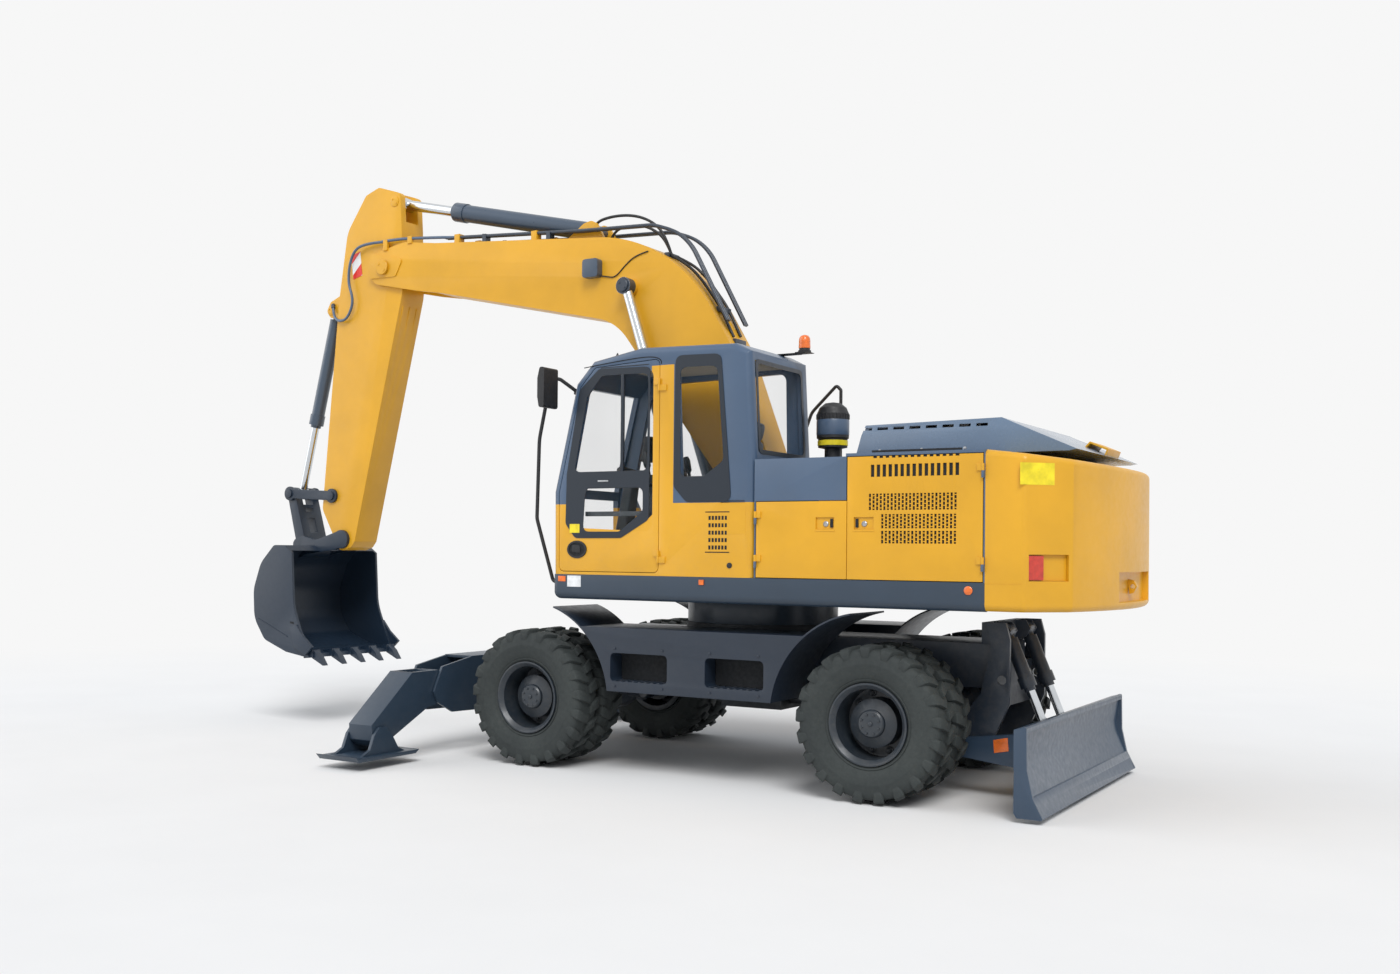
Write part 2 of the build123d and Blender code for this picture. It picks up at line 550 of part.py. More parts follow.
with BuildPart() as counterweight:
    with BuildSketch(Plane.XY.offset(1300)):
        with BuildLine():
            tail = sqrt(TAIL_R ** 2 - TAIL_FLAT ** 2)
            Line((DECK_BACK - FIT, -BODY_HALF), (TAIL_CORNER, -BODY_HALF))
            Line((TAIL_CORNER, -BODY_HALF), (-tail, -TAIL_FLAT))
            ThreePointArc((-tail, -TAIL_FLAT), (-TAIL_R, 0), (-tail, TAIL_FLAT))
            Line((-tail, TAIL_FLAT), (TAIL_CORNER, BODY_HALF))
            Line((TAIL_CORNER, BODY_HALF), (DECK_BACK - FIT, BODY_HALF))
            Line((DECK_BACK - FIT, BODY_HALF), (DECK_BACK - FIT, -BODY_HALF))
        make_face()
    extrude(amount=HOUSE_TOP - 1300)
    past = -TAIL_R - 150
    slab([(DECK_BACK, HOUSE_TOP), (past, HOUSE_TOP + 20), (past, HOUSE_TOP - 105)], -1400, 1400,
         Mode.SUBTRACT)
    outer = [edge for edge in counterweight.edges() if edge.center().X < DECK_BACK - 20]
    fillet(outer, TAIL_ROUND)
    for side in (-1, 1):
        with Locations(Location((LAMP_AT[0], side * LAMP_AT[1], LAMP_Z), (0, 0, side * LAMP_TURN))):
            Box(280, 2 * LAMP_RECESS, 166, mode=Mode.SUBTRACT)
    block(-TAIL_R - 50, -TAIL_R + 70, -TOW_HALF, TOW_HALF, 1350, 1550, Mode.SUBTRACT)
    slab([(-TAIL_R + 60, 1400), (-TAIL_R + 75, 1500), (-TAIL_R + 30, 1490), (-TAIL_R + 10, 1450),
          (-TAIL_R + 30, 1410)], -22, 22)
    drum((-TAIL_R + 38, 1450), 16, -30, 30, Mode.SUBTRACT)
write(counterweight.part, "counterweight")

# ---------------------------------------------------------------- engine house
HOUSE_FRONT = CAB_BACK - 6
MID_WALL = -1255
HOOD_HALF = 850
BAND_LOW = 2010          # the grey band above the front door
POST = 10
HINGE_R = 10
HINGE_OUT = HINGE_R + 1  # from the body's face to a hinge pin
HINGE_LONG = 45          # height of half a hinge
HINGE_INSET = 110        # from a door's end to the middle of its hinge
HOOD_HINGES = (-1300, -2000)
HOOD_PIN = (-HOOD_HALF - HINGE_OUT, HOUSE_TOP + HINGE_OUT)   # y and z
SLOT_DEEP = 14

# node, x of the hinge pin, x of the far edge, side, low z, high z
SIDE_DOORS = (
    ("left_front_door", HOUSE_FRONT - POST - SEAM / 2, MID_WALL + SEAM / 2, 1, DECK_TOP + SEAM,
     BAND_LOW - SEAM),
    ("left_rear_door", DECK_BACK + POST + SEAM / 2, MID_WALL - SEAM / 2, 1, DECK_TOP + SEAM,
     HOUSE_TOP - 25),
    ("right_rear_door", MID_WALL - POST / 2 - SEAM / 2, DECK_BACK + SEAM, -1, DECK_TOP + SEAM,
     HOUSE_TOP - 25))


def hinge_half(pin_x, side, leaf, z_low, z_high):
    """Half a hinge on the body's side: a barrel on the pin and a leaf of a signed length along X."""
    with Locations((pin_x, side * (BODY_HALF + HINGE_OUT), (z_low + z_high) / 2)):
        Cylinder(HINGE_R, z_high - z_low)
    y_low, y_high = sorted((side * (BODY_HALF - 3), side * (BODY_HALF + HINGE_OUT)))
    x_low, x_high = sorted((pin_x, pin_x + leaf))
    block(x_low, x_high, y_low, y_high, z_low, z_high)


def hood_hinge_half(x_low, x_high, leaf_y, leaf_z):
    """Half a hinge of the hood: a barrel along X and a leaf towards one point."""
    with Locations(Location(((x_low + x_high) / 2, HOOD_PIN[0], HOOD_PIN[1]), (0, 90, 0))):
        Cylinder(HINGE_R, x_high - x_low)
    y_low, y_high = sorted((HOOD_PIN[0], leaf_y))
    z_low, z_high = sorted((HOOD_PIN[1], leaf_z))
    block(x_low, x_high, y_low - 3, y_high, z_low, z_high + 3)


with BuildPart() as house_frame:
    block(HOUSE_FRONT - 20, HOUSE_FRONT, 240, BODY_HALF - DOOR_T - SEAM, DECK_TOP, HOUSE_TOP - 20)
    block(HOUSE_FRONT - POST, HOUSE_FRONT, BODY_HALF - DOOR_T - SEAM, BODY_HALF, DECK_TOP, BAND_LOW)
    block(MID_WALL - 10, MID_WALL + 10, -BODY_HALF + DOOR_T + SEAM, BODY_HALF - DOOR_T - SEAM,
          DECK_TOP, HOUSE_TOP - 20)
    block(MID_WALL - POST / 2, MID_WALL + POST / 2, -BODY_HALF, -BODY_HALF + DOOR_T + SEAM,
          DECK_TOP, HOUSE_TOP - 20)
    block(DECK_BACK, DECK_BACK + POST, BODY_HALF - DOOR_T - SEAM, BODY_HALF, DECK_TOP, HOUSE_TOP - 20)
    for node, pin_x, far_x, side, low, high in SIDE_DOORS:
        for z in (low + HINGE_INSET, high - HINGE_INSET):
            hinge_half(pin_x, side, copysign(POST, pin_x - far_x), z - HINGE_LONG, z - PIN_GAP)
    block(MID_WALL + SEAM, HOUSE_FRONT, BODY_HALF - DOOR_T, BODY_HALF, BAND_LOW, HOUSE_TOP - 20)
    block(MID_WALL + 5, HOUSE_FRONT, -400, BODY_HALF, HOUSE_TOP - 30, HOUSE_TOP - 20)
    for y_low, y_high in both_sides(HOOD_HALF - 20, BODY_HALF):
        block(DECK_BACK, MID_WALL + 10, y_low, y_high, HOUSE_TOP - 20, HOUSE_TOP)
    block(MID_WALL - 10, MID_WALL + 30, -HOOD_HALF, HOOD_HALF, HOUSE_TOP - 20, HOUSE_TOP)
    for x in HOOD_HINGES:
        hood_hinge_half(x - HINGE_LONG, x - PIN_GAP, HOOD_PIN[0] + 3, HOUSE_TOP - 4)
write(house_frame.part, "house_frame")

COOLER_GAP = 75

# low z, high z, near x, far x, slots across: the rows of openings in the rear doors
GRILLES = ((2283, 2331, -1430, -2030, 14), (2160, 2240, -1414, -2028, 15), (1942, 2050, -1405, -2010, 24),
           (1822, 1915, -1492, -2008, 20), (1724, 1806, -1492, -2008, 20))
LATCHES = {"left_front_door": (-1163, -1029), "left_rear_door": (-1444, -1305),
           "right_rear_door": (-2120, -1981)}
LATCH_Z = (1816, 1896)

with BuildPart() as engine:
    block(-2120, -1330, -720, 520, DECK_TOP, 2230)
    block(-2120, -1330, 900, BODY_HALF - DOOR_T - SEAM - COOLER_GAP, DECK_TOP, 2230)
write(engine.part, "engine_and_cooler")

for node, pin_x, far_x, side, low, high in SIDE_DOORS:
    with BuildPart() as door:
        y_low, y_high = sorted((side * (BODY_HALF - DOOR_T), side * BODY_HALF))
        x_low, x_high = sorted((pin_x + copysign(SEAM / 2, far_x - pin_x), far_x))
        block(x_low, x_high, y_low, y_high, low, high)
        for z in (low + HINGE_INSET, high - HINGE_INSET):
            hinge_half(pin_x, side, copysign(40, far_x - pin_x), z, z + HINGE_LONG)
        face = side * BODY_HALF
        y_low, y_high = sorted((face - side * SLOT_DEEP, face + side))
        block(*LATCHES[node], y_low, y_high, *LATCH_Z, Mode.SUBTRACT)
        if "rear" in node:
            for z_low, z_high, near, far, count in GRILLES:
                pitch = (near - far) / count
                with Locations([((near - pitch * (n + 0.5)), (y_low + y_high) / 2, (z_low + z_high) / 2)
                                for n in range(count)]):
                    Box(pitch * 0.6, y_high - y_low, z_high - z_low, mode=Mode.SUBTRACT)
    write(door.part, node)

with BuildPart() as hood:
    profile = [(-1140, HOUSE_TOP + FIT), (-1204, 2542), (-2154, 2559), (-2650, 2335), (-2600, 2325),
               (-2200, HOUSE_TOP + FIT)]
    slab(profile, -HOOD_HALF, HOOD_HALF)
    inside = [(-1175, HOUSE_TOP - 5), (-1225, 2517), (-2140, 2534), (-2190, 2500), (-2190, HOUSE_TOP - 5)]
    slab(inside, -HOOD_HALF + 25, HOOD_HALF - 25, Mode.SUBTRACT)
    for side in (-1, 1):
        bevel = [(side * (HOOD_HALF + 1), 2470), (side * (HOOD_HALF + 1), 2600),
                 (side * (HOOD_HALF - 50), 2600)]
        bar(bevel, -2700, -1000, Mode.SUBTRACT)
        with Locations([(-1217 - 116 * n, side * (HOOD_HALF - 12), 2515) for n in range(8)]):
            Box(78, 50, 20, mode=Mode.SUBTRACT)
    for x in HOOD_HINGES:
        hood_hinge_half(x, x + HINGE_LONG, -HOOD_HALF + 10, HOOD_PIN[1] + 4)
write(hood.part, "engine_hood")

with BuildPart() as tanks:
    block(MID_WALL + 10 + FIT, -330, -BODY_HALF, -420, DECK_TOP, HOUSE_TOP - 20)
    block(-325, 330, -BODY_HALF, -420, DECK_TOP, HOUSE_TOP - 60)
    slab([(335, DECK_TOP), (335, 2050), (700, 2050), (1100, 1900), (1140, DECK_TOP)], -BODY_HALF, -420)
write(tanks.part, "right_tanks")

PRECLEANER = (-722, 300)
with BuildPart() as precleaner:
    profile = [(0, HOUSE_TOP - 20), (60, HOUSE_TOP - 20), (60, 2430), (108, 2440), (108, 2500), (119, 2510),
               (119, 2690), (100, 2735), (60, 2768), (0, 2778)]
    with BuildSketch(Plane(origin=(*PRECLEANER, 0), x_dir=(1, 0, 0), z_dir=(0, -1, 0))) as sk:
        with BuildLine():
            Polyline(*profile, close=True)
        make_face()
    revolve(sk.sketch, axis=Axis((*PRECLEANER, 0), (0, 0, 1)))
write(precleaner.part, "air_precleaner")

# ---------------------------------------------------------------- cab
CAB_LEFT = BODY_HALF
CAB_PROFILE = [(1140, DECK_TOP), (1147, 2100), (953, 2909), (800, 3070), (380, 3143),
               (-400, 3121), (-520, 3060), (CAB_BACK, 2302), (CAB_BACK, DECK_TOP)]


def inset(points, amount, radius=0):
    """A closed outline moved inwards by an amount, its corners rounded if a radius is given."""
    with BuildSketch(Plane.XZ) as shrunk:
        with BuildLine():
            Polyline(*points, close=True)
        make_face()
        offset(amount=-amount, kind=Kind.INTERSECTION, mode=Mode.REPLACE)
        if radius:
            fillet(shrunk.vertices(), radius)
    return shrunk.sketch


DOOR_OUTLINE = [(205, 1500), (1085, 1500), (1090, 2095), (905, 2880), (770, 3020), (205, 3050)]
DOOR_WINDOW = [(262, 1800), (975, 1830), (1000, 2090), (845, 2830), (730, 2960), (262, 2985)]
SIDE_WINDOW = [(20, 2060), (60, 3030), (-300, 3020), (-370, 2050)]
RIGHT_WINDOW = [(-400, 2000), (900, 1950), (980, 2110), (830, 2840), (700, 2980), (-380, 3000)]
WINDSCREEN_Y = (CAB_RIGHT + 70, CAB_LEFT - 70)
WINDSCREEN_Z = (2130, 2880)
LOWER_SCREEN_Z = (1640, 2060)
REAR_SCREEN_Z = (2360, 3000)
DOOR_ROUND = 45
WINDOW_ROUND = 60
CAB_DOOR_PIN = 205 + SEAM / 2
CAB_HINGES = (1620, 2860)

CAB_GRILLE_ROWS = 5
CAB_GRILLE_LOW, CAB_GRILLE_PITCH = 1790, 50

with BuildPart() as cab_frame:
    slab(CAB_PROFILE, CAB_RIGHT, CAB_LEFT)
    upright = cab_frame.edges().filter_by(Axis.Y, reverse=True).filter_by_position(
        Axis.Y, CAB_LEFT - 1, CAB_LEFT + 1).filter_by_position(Axis.Z, DECK_TOP + 10, 4000)
    fillet(upright, 50)
    inner = inset(CAB_PROFILE, CAB_WALL)
    extrude(Pos(0, CAB_LEFT - CAB_WALL, 0) * inner, amount=CAB_LEFT - CAB_RIGHT - 2 * CAB_WALL,
            mode=Mode.SUBTRACT)
    slab(DOOR_OUTLINE, CAB_LEFT - CAB_WALL - 5, CAB_LEFT + 5, Mode.SUBTRACT, DOOR_ROUND)
    slab(SIDE_WINDOW, CAB_LEFT - CAB_WALL - 5, CAB_LEFT + 5, Mode.SUBTRACT, WINDOW_ROUND)
    slab(RIGHT_WINDOW, CAB_RIGHT - 5, CAB_RIGHT + CAB_WALL + 5, Mode.SUBTRACT, WINDOW_ROUND)
    for row in range(CAB_GRILLE_ROWS):
        z = CAB_GRILLE_LOW + CAB_GRILLE_PITCH * row
        block(-490, -300, CAB_LEFT - SLOT_DEEP, CAB_LEFT + 1, z, z + CAB_GRILLE_PITCH * 0.6, Mode.SUBTRACT)
    for z in CAB_HINGES:
        hinge_half(CAB_DOOR_PIN, 1, -60, z - HINGE_LONG, z - PIN_GAP)
    for z_low, z_high in (WINDSCREEN_Z, LOWER_SCREEN_Z):
        block(900, 1300, WINDSCREEN_Y[0], WINDSCREEN_Y[1], z_low, z_high, Mode.SUBTRACT)
    block(CAB_BACK - 10, CAB_BACK + 90, WINDSCREEN_Y[0], WINDSCREEN_Y[1], REAR_SCREEN_Z[0],
          REAR_SCREEN_Z[1], Mode.SUBTRACT)
write(cab_frame.part, "cab_frame")

with BuildPart() as cab_door:
    door_face = inset(DOOR_OUTLINE, SEAM, DOOR_ROUND - SEAM)
    extrude(Pos(0, CAB_LEFT, 0) * door_face, amount=CAB_WALL)
    slab(DOOR_WINDOW, CAB_LEFT - CAB_WALL - 5, CAB_LEFT + 5, Mode.SUBTRACT, WINDOW_ROUND)
    for z in CAB_HINGES:
        hinge_half(CAB_DOOR_PIN, 1, 40, z, z + HINGE_LONG)
write(cab_door.part, "cab_door")

GLASS_T = 6
with BuildPart() as cab_door_glass:
    extrude(Pos(0, CAB_LEFT - 18, 0) * inset(DOOR_WINDOW, FIT, WINDOW_ROUND - FIT), amount=GLASS_T)
write(cab_door_glass.part, "cab_door_glass")


def wall_x(z, into):
    """x of the cab's front face at a height, less a depth measured along X."""
    (x_low, z_low), (x_high, z_high) = CAB_PROFILE[1], CAB_PROFILE[2]
    if z < z_low:
        (x_low, z_low), (x_high, z_high) = CAB_PROFILE[0], CAB_PROFILE[1]
    return x_low + (x_high - x_low) * (z - z_low) / (z_high - z_low) - into


with BuildPart() as cab_glass:
    extrude(Pos(0, CAB_LEFT - 18, 0) * inset(SIDE_WINDOW, FIT, WINDOW_ROUND - FIT), amount=GLASS_T)
    extrude(Pos(0, CAB_RIGHT + 24, 0) * inset(RIGHT_WINDOW, FIT, WINDOW_ROUND - FIT), amount=GLASS_T)
    for z_low, z_high in (WINDSCREEN_Z, LOWER_SCREEN_Z):
        low, high = z_low + FIT, z_high - FIT
        slab([(wall_x(low, 18), low), (wall_x(high, 18), high), (wall_x(high, 18 + GLASS_T), high),
              (wall_x(low, 18 + GLASS_T), low)], WINDSCREEN_Y[0] + FIT, WINDSCREEN_Y[1] - FIT)
    rear_low, rear_high = REAR_SCREEN_Z[0] + FIT, REAR_SCREEN_Z[1] - FIT
    slab([(CAB_BACK + 20, rear_low), (CAB_BACK + 53, rear_high), (CAB_BACK + 53 + GLASS_T, rear_high),
          (CAB_BACK + 20 + GLASS_T, rear_low)], WINDSCREEN_Y[0] + FIT, WINDSCREEN_Y[1] - FIT)
write(cab_glass.part, "cab_glass")

CAB_FLOOR = DECK_TOP + CAB_WALL
SEAT_Y = (CAB_RIGHT + CAB_LEFT) / 2
with BuildPart() as cab_controls:
    block(-150, 300, SEAT_Y - 170, SEAT_Y + 170, CAB_FLOOR, 1900)
    for y_low, y_high in ((SEAT_Y - 340, SEAT_Y - 255), (SEAT_Y + 255, SEAT_Y + 340)):
        block(-100, 420, y_low, y_high, 1860, 2130)
        block(-50, 200, y_low, y_high, CAB_FLOOR, 1860)
    slab([(780, CAB_FLOOR), (900, CAB_FLOOR), (760, 2190), (690, 2170)], SEAT_Y - 60, SEAT_Y + 60)
write(cab_controls.part, "cab_controls")

with BuildPart() as cab_seat:
    slab([(-180, 1900 + FIT), (340, 1900 + FIT), (350, 2010), (-60, 2000), (-240, 2620), (-350, 2590)],
         SEAT_Y - 235, SEAT_Y + 235)
write(cab_seat.part, "cab_seat")

RAIL_R = 14
# routes as x, y and z, and the radii of their bends
RAILS = (([(DECK_FRONT + FIT, BODY_HALF - 130, 1420), (DECK_FRONT + 80, BODY_HALF - 130, 1420),
           (1310, BODY_HALF - 20, 1900), (1250, BODY_HALF + 40, 2500), (1110, BODY_HALF + 80, 2990),
           (1000, BODY_HALF - 100, 2860)], (30, 150, 400, 60)),
         ([(300, 120 - BODY_HALF, HOUSE_TOP - 60 + FIT), (300, 120 - BODY_HALF, 2400),
           (120, 120 - BODY_HALF, 2870), (-110, 120 - BODY_HALF, 3090), (-150, 120 - BODY_HALF, 3050),
           (-150, 120 - BODY_HALF, HOUSE_TOP - 60 + FIT)], (60, 150, 20, 20)),
         ([(420, 60 - BODY_HALF, 2050 + FIT), (420, 60 - BODY_HALF, 2430), (1085, 60 - BODY_HALF, 2500)],
          (100,)))
with BuildPart() as handrails:
    for route, bends in RAILS:
        tube(route, bends, RAIL_R)
    slab([(wall_x(2840, -FIT), 2840), (1015, 2840), (1015, 2880), (wall_x(2880, -FIT), 2880)],
         BODY_HALF - 125, BODY_HALF - 75)
    slab([(1075, 2720), (1120, 2720), (1135, 2800), (1135, 2940), (1115, 3020), (1075, 3020)],
         BODY_HALF + 50, BODY_HALF + 230, radii=18)
    block(1075, 1120, -20 - BODY_HALF, 160 - BODY_HALF, 2400, 2680)
write(handrails.part, "handrails")

with BuildPart() as lamps:
    block(-640, -330, 460, 580, 3123.3, 3129.3)
    with Locations((-590, 520, 3129.3 + 65)):
        Cylinder(45, 130)
    for side in (-1, 1):
        x = LAMP_AT[0] + LAMP_IN * sin(radians(LAMP_TURN))
        y = side * (LAMP_AT[1] - LAMP_IN * cos(radians(LAMP_TURN)))
        with Locations(Location((x, y, LAMP_Z), (0, 0, side * LAMP_TURN))):
            Box(230, LAMP_T, 90)
write(lamps.part, "lamps")

# ---------------------------------------------------------------- boom
BOOM_KNEE = (BOOM_FOOT[0] + 907, BOOM_FOOT[1] + 2290)        # where the upper edges would meet
BOOM_SHOULDER = (BOOM_TIP[0] - 581, BOOM_TIP[1] + 164)       # upper end of the box section
with BuildPart() as boom:
    outline = about(BOOM_FOOT, [(-125, 60), (330, 1313)]) + [BOOM_KNEE, BOOM_SHOULDER] + about(
        BOOM_TIP, [(-551, -24), (-581, -275)]) + about(BOOM_FOOT, [(1442, 1631), (160, -80)])
    slab(outline, -BOOM_HALF, BOOM_HALF, radii=(20, 1500, 1400, 5, 5, 5, 500, 20))
    drum(BOOM_FOOT, 135, -BOOM_HALF, BOOM_HALF)
    ear = about(BOOM_TIP, [(-640, 158), (-241, 213), (179, 131), (179, -129), (-408, -252), (-640, -290)])
    plate = about(BOOM_TIP, [(-235, 60), (150, 145), (190, 40), (175, -90), (-150, -95)])
    for y_low, y_high in both_sides(STICK_HALF + SEAM, BOOM_HALF):
        slab(ear, y_low, y_high, radii=(5, 300, 150, 150, 200, 5))
    for y_low, y_high in both_sides(BOOM_HALF, BOOM_HALF + 10):
        slab(plate, y_low, y_high, radii=30)
    for y_low, y_high in both_sides(BOOM_HALF, BOOM_HALF + 26):
        drum(BOOM_TIP, 52, y_low, y_high)
    lug = about(STICK_CYL_FOOT, [(-190, -160), (-70, 50), (-20, 78), (60, 60), (270, -85), (300, -160)])
    for y_low, y_high in both_sides(82 + PIN_GAP, 115):
        slab(lug, y_low, y_high, radii=(5, 40, 60, 60, 60, 5))
    for y_low, y_high in both_sides(STICK_HALF + PIN_GAP, STICK_HALF + SEAM):
        drum(BOOM_TIP, 110, y_low, y_high)
    for y_low, y_high in both_sides(BOOM_HALF, BOOM_CYL_Y - 45 - PIN_GAP):
        drum(BOOM_CYL_EYE, 72, y_low, y_high)
    lamp = about(BOOM_CYL_EYE, [(290, 115), (430, 130), (440, 260), (300, 265)])
    for y_low, y_high in both_sides(BOOM_HALF, BOOM_HALF + 75):
        slab(lamp, y_low, y_high, radii=20)
write(boom.part, "boom")

boom_barrels, boom_rods = cylinder_pair(BOOM_CYL_FOOT, BOOM_CYL_EYE, 1520, 1000, 70, 42, 68, 45,
                                        (-BOOM_CYL_Y, BOOM_CYL_Y))
write(boom_barrels, "boom_cylinder_barrels")
write(boom_rods, "boom_cylinder_rods")

PIPE_R = 14


def boom_top(x):
    """Height of the boom's straight upper edge."""
    return BOOM_KNEE[1] + (BOOM_SHOULDER[1] - BOOM_KNEE[1]) * (x - BOOM_KNEE[0]) / (
        BOOM_SHOULDER[0] - BOOM_KNEE[0])


PIPE_Y = (-163, -132, 132, 163)
with BuildPart() as boom_pipes:
    for y in PIPE_Y:
        run = about(BOOM_FOOT, [(400, 1560), (790, 2290), (1100, 2400)]) + about(
            BOOM_TIP, [(-2200, 92), (-730, 199)])
        tube([(x, y, z) for x, z in run], (500, 400, 400), PIPE_R)
    for x in (2000, 2700):
        low, high = (x - 20, boom_top(x - 20) + FIT), (x + 20, boom_top(x + 20) + FIT)
        for y_low, y_high in both_sides(112, 181):
            slab([low, high, (high[0], high[1] + 68), (low[0], low[1] + 68)], y_low, y_high)
write(boom_pipes.part, "boom_pipes")

# ---------------------------------------------------------------- stick and its cylinder
RIB_OUT = 8
with BuildPart() as stick:
    outline = about(BOOM_TIP, [(106, 771), (269, 715), (501, 394), (602, -239)]) + about(
        BUCKET_PIN, [(273, 287), (118, 20), (60, -90), (-95, -85), (-150, -20)]) + about(
        BOOM_TIP, [(-200, -241), (-181, 378), (-161, 686)])
    slab(outline, -STICK_HALF, STICK_HALF, radii=(60, 60, 300, 300, 90, 90, 60, 60, 40, 300, 60, 60))
    drum(BUCKET_PIN, 105, -STICK_HALF, STICK_HALF)
    block(BOOM_TIP[0] - 400, BOOM_TIP[0] + 180, -82 - PIN_GAP, 82 + PIN_GAP, BOOM_TIP[1] + 430,
          BOOM_TIP[1] + 900, Mode.SUBTRACT)
    back_low, back_high = about(BUCKET_PIN, [(-125, 120)])[0], about(BOOM_TIP, [(-170, -360)])[0]
    for y in (-95, 0, 95):
        rib = [back_low, back_high, (back_high[0] + 60, back_high[1]), (back_low[0] + 60, back_low[1])]
        slab([(x - RIB_OUT, z) for x, z in rib], y - 17, y + 17)
    lug = about(BUCKET_CYL_FOOT, [(-200, 170), (10, 85), (60, 0), (10, -65), (-150, -100)])
    for y_low, y_high in both_sides(66 + PIN_GAP, 96):
        slab(lug, y_low, y_high, radii=(5, 40, 40, 40, 5))
write(stick.part, "stick")

stick_barrel, stick_rod = cylinder_pair(STICK_CYL_FOOT, STICK_CYL_EYE, 1590, 900, 78, 47, 60, 82, (0,))
write(stick_barrel, "stick_cylinder_barrel")
write(stick_rod, "stick_cylinder_rod")

bucket_barrel, bucket_rod = cylinder_pair(BUCKET_CYL_FOOT, LINK_TOP, 1120, 475, 62, 37, 55, 66, (0,))
write(bucket_barrel, "bucket_cylinder_barrel")
write(bucket_rod, "bucket_cylinder_rod")

ROCKER_T = 25
with BuildPart() as rockers:
    for y_low, y_high in both_sides(STICK_HALF + PIN_GAP, STICK_HALF + PIN_GAP + ROCKER_T):
        drum(ROCKER_PIN, 68, y_low, y_high)
        drum(LINK_TOP, 68, y_low, y_high)
        slab(about(ROCKER_PIN, [(0, -45), (0, 45)]) + about(LINK_TOP, [(0, 45), (0, -45)]), y_low, y_high)
    for y_low, y_high in both_sides(STICK_HALF + ROCKER_T, STICK_HALF + ROCKER_T + 18):
        drum(ROCKER_PIN, 42, y_low, y_high)
        drum(LINK_TOP, 42, y_low, y_high)
write(rockers.part, "bucket_rockers")

LINK_SIDE = 66 + PIN_GAP
with BuildPart() as link:
    shank = [(LINK_TOP[0] - 52, LINK_TOP[1]), (LINK_LOW[0] - 62, LINK_LOW[1]),
             (LINK_LOW[0] + 62, LINK_LOW[1]), (LINK_TOP[0] + 52, LINK_TOP[1])]
    slab(shank, -STICK_HALF, STICK_HALF)
    drum(LINK_LOW, 62, -STICK_HALF, STICK_HALF)
    for y_low, y_high in both_sides(LINK_SIDE, STICK_HALF):
        drum(LINK_TOP, 62, y_low, y_high)
    # the rod's eye sits between the link's upper ends; two windows pierce it lower down
    block(LINK_TOP[0] - 150, LINK_TOP[0] + 150, -LINK_SIDE, LINK_SIDE, LINK_TOP[1] - 105, LINK_TOP[1] + 100,
          Mode.SUBTRACT)
    for z_low, z_high in ((-175, -140), (-380, -235)):
        block(LINK_LOW[0] - 150, LINK_TOP[0] + 150, -48, 48, LINK_TOP[1] + z_low, LINK_TOP[1] + z_high,
              Mode.SUBTRACT)
write(link.part, "bucket_link")

# ---------------------------------------------------------------- bucket
WALL = 25
TEETH = 5
TOOTH_PITCH = 250
EAR_FACE = STICK_HALF + PIN_GAP
EAR_OUTER = EAR_FACE + EAR_T
TROUGH_R = 104           # room in the bucket's back for the link's lower end
outer = about(BUCKET_PIN, [(240, -130), (340, -61), (476, -60), (650, -230), (745, -480), (730, -760),
                           (590, -955), (300, -1060), (0, -1104), (60, -990), (210, -640)])
shell_radii = (5, 5, 60, 240, 300, 260, 120, 60, 5, 5, 500)

with BuildPart() as trough:
    slab(outer, -EAR_OUTER, EAR_OUTER, radii=shell_radii)
    drum(LINK_LOW, TROUGH_R + WALL, -EAR_OUTER, EAR_OUTER, Mode.INTERSECT)

with BuildPart() as bucket:
    slab(outer, -BUCKET_HALF, BUCKET_HALF, radii=shell_radii)
    hollow = about(BUCKET_PIN, [(180, -140), (330, -90), (470, -88), (630, -248), (719, -490), (704, -750),
                                (572, -932), (290, -1034), (-100, -1085), (-100, -600)])
    slab(hollow, -BUCKET_HALF + WALL, BUCKET_HALF - WALL, Mode.SUBTRACT,
         (5, 5, 40, 220, 280, 240, 100, 60, 5, 5))
    add(trough.part)
    drum(LINK_LOW, TROUGH_R, -EAR_FACE, EAR_FACE, Mode.SUBTRACT)
    ear = about(BUCKET_PIN, [(-80, 60), (0, 90), (90, 60), (330, -10), (510, 35), (628, -10), (640, -200),
                             (476, -150), (300, -125), (80, -100), (-80, -50)])
    for y_low, y_high in both_sides(EAR_FACE, EAR_OUTER):
        slab(ear, y_low, y_high, radii=(60, 60, 100, 200, 60, 60, 20, 100, 100, 60, 60))
        drum(BUCKET_PIN, 88, y_low, y_high)
    cutter = about(BUCKET_PIN, [(30, -1080), (-60, -1000), (60, -905), (150, -800), (230, -820),
                                (170, -1010)])
    for y_low, y_high in both_sides(BUCKET_HALF - 5, BUCKET_HALF + 22):
        slab(cutter, y_low, y_high)
    for index in range(TEETH):
        y = TOOTH_PITCH * (index - (TEETH - 1) / 2)
        slab(about(BUCKET_PIN, [(90, -1045), (-20, -1030), (-30, -1100), (90, -1112)]), y - 52, y + 52)
        tooth = about(BUCKET_PIN, [(-20, -1035), (-80, -1085), (-140, -1171), (-40, -1125), (0, -1108)])
        slab(tooth, y - 34, y + 34)
write(bucket.part, "bucket")
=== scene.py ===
"""Looks of the wheeled excavator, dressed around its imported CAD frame. Metres, X forward, Y left, Z up."""
import json
from math import cos, pi, radians, sin, tan

import bmesh
import bpy
from mathutils import Matrix, Vector


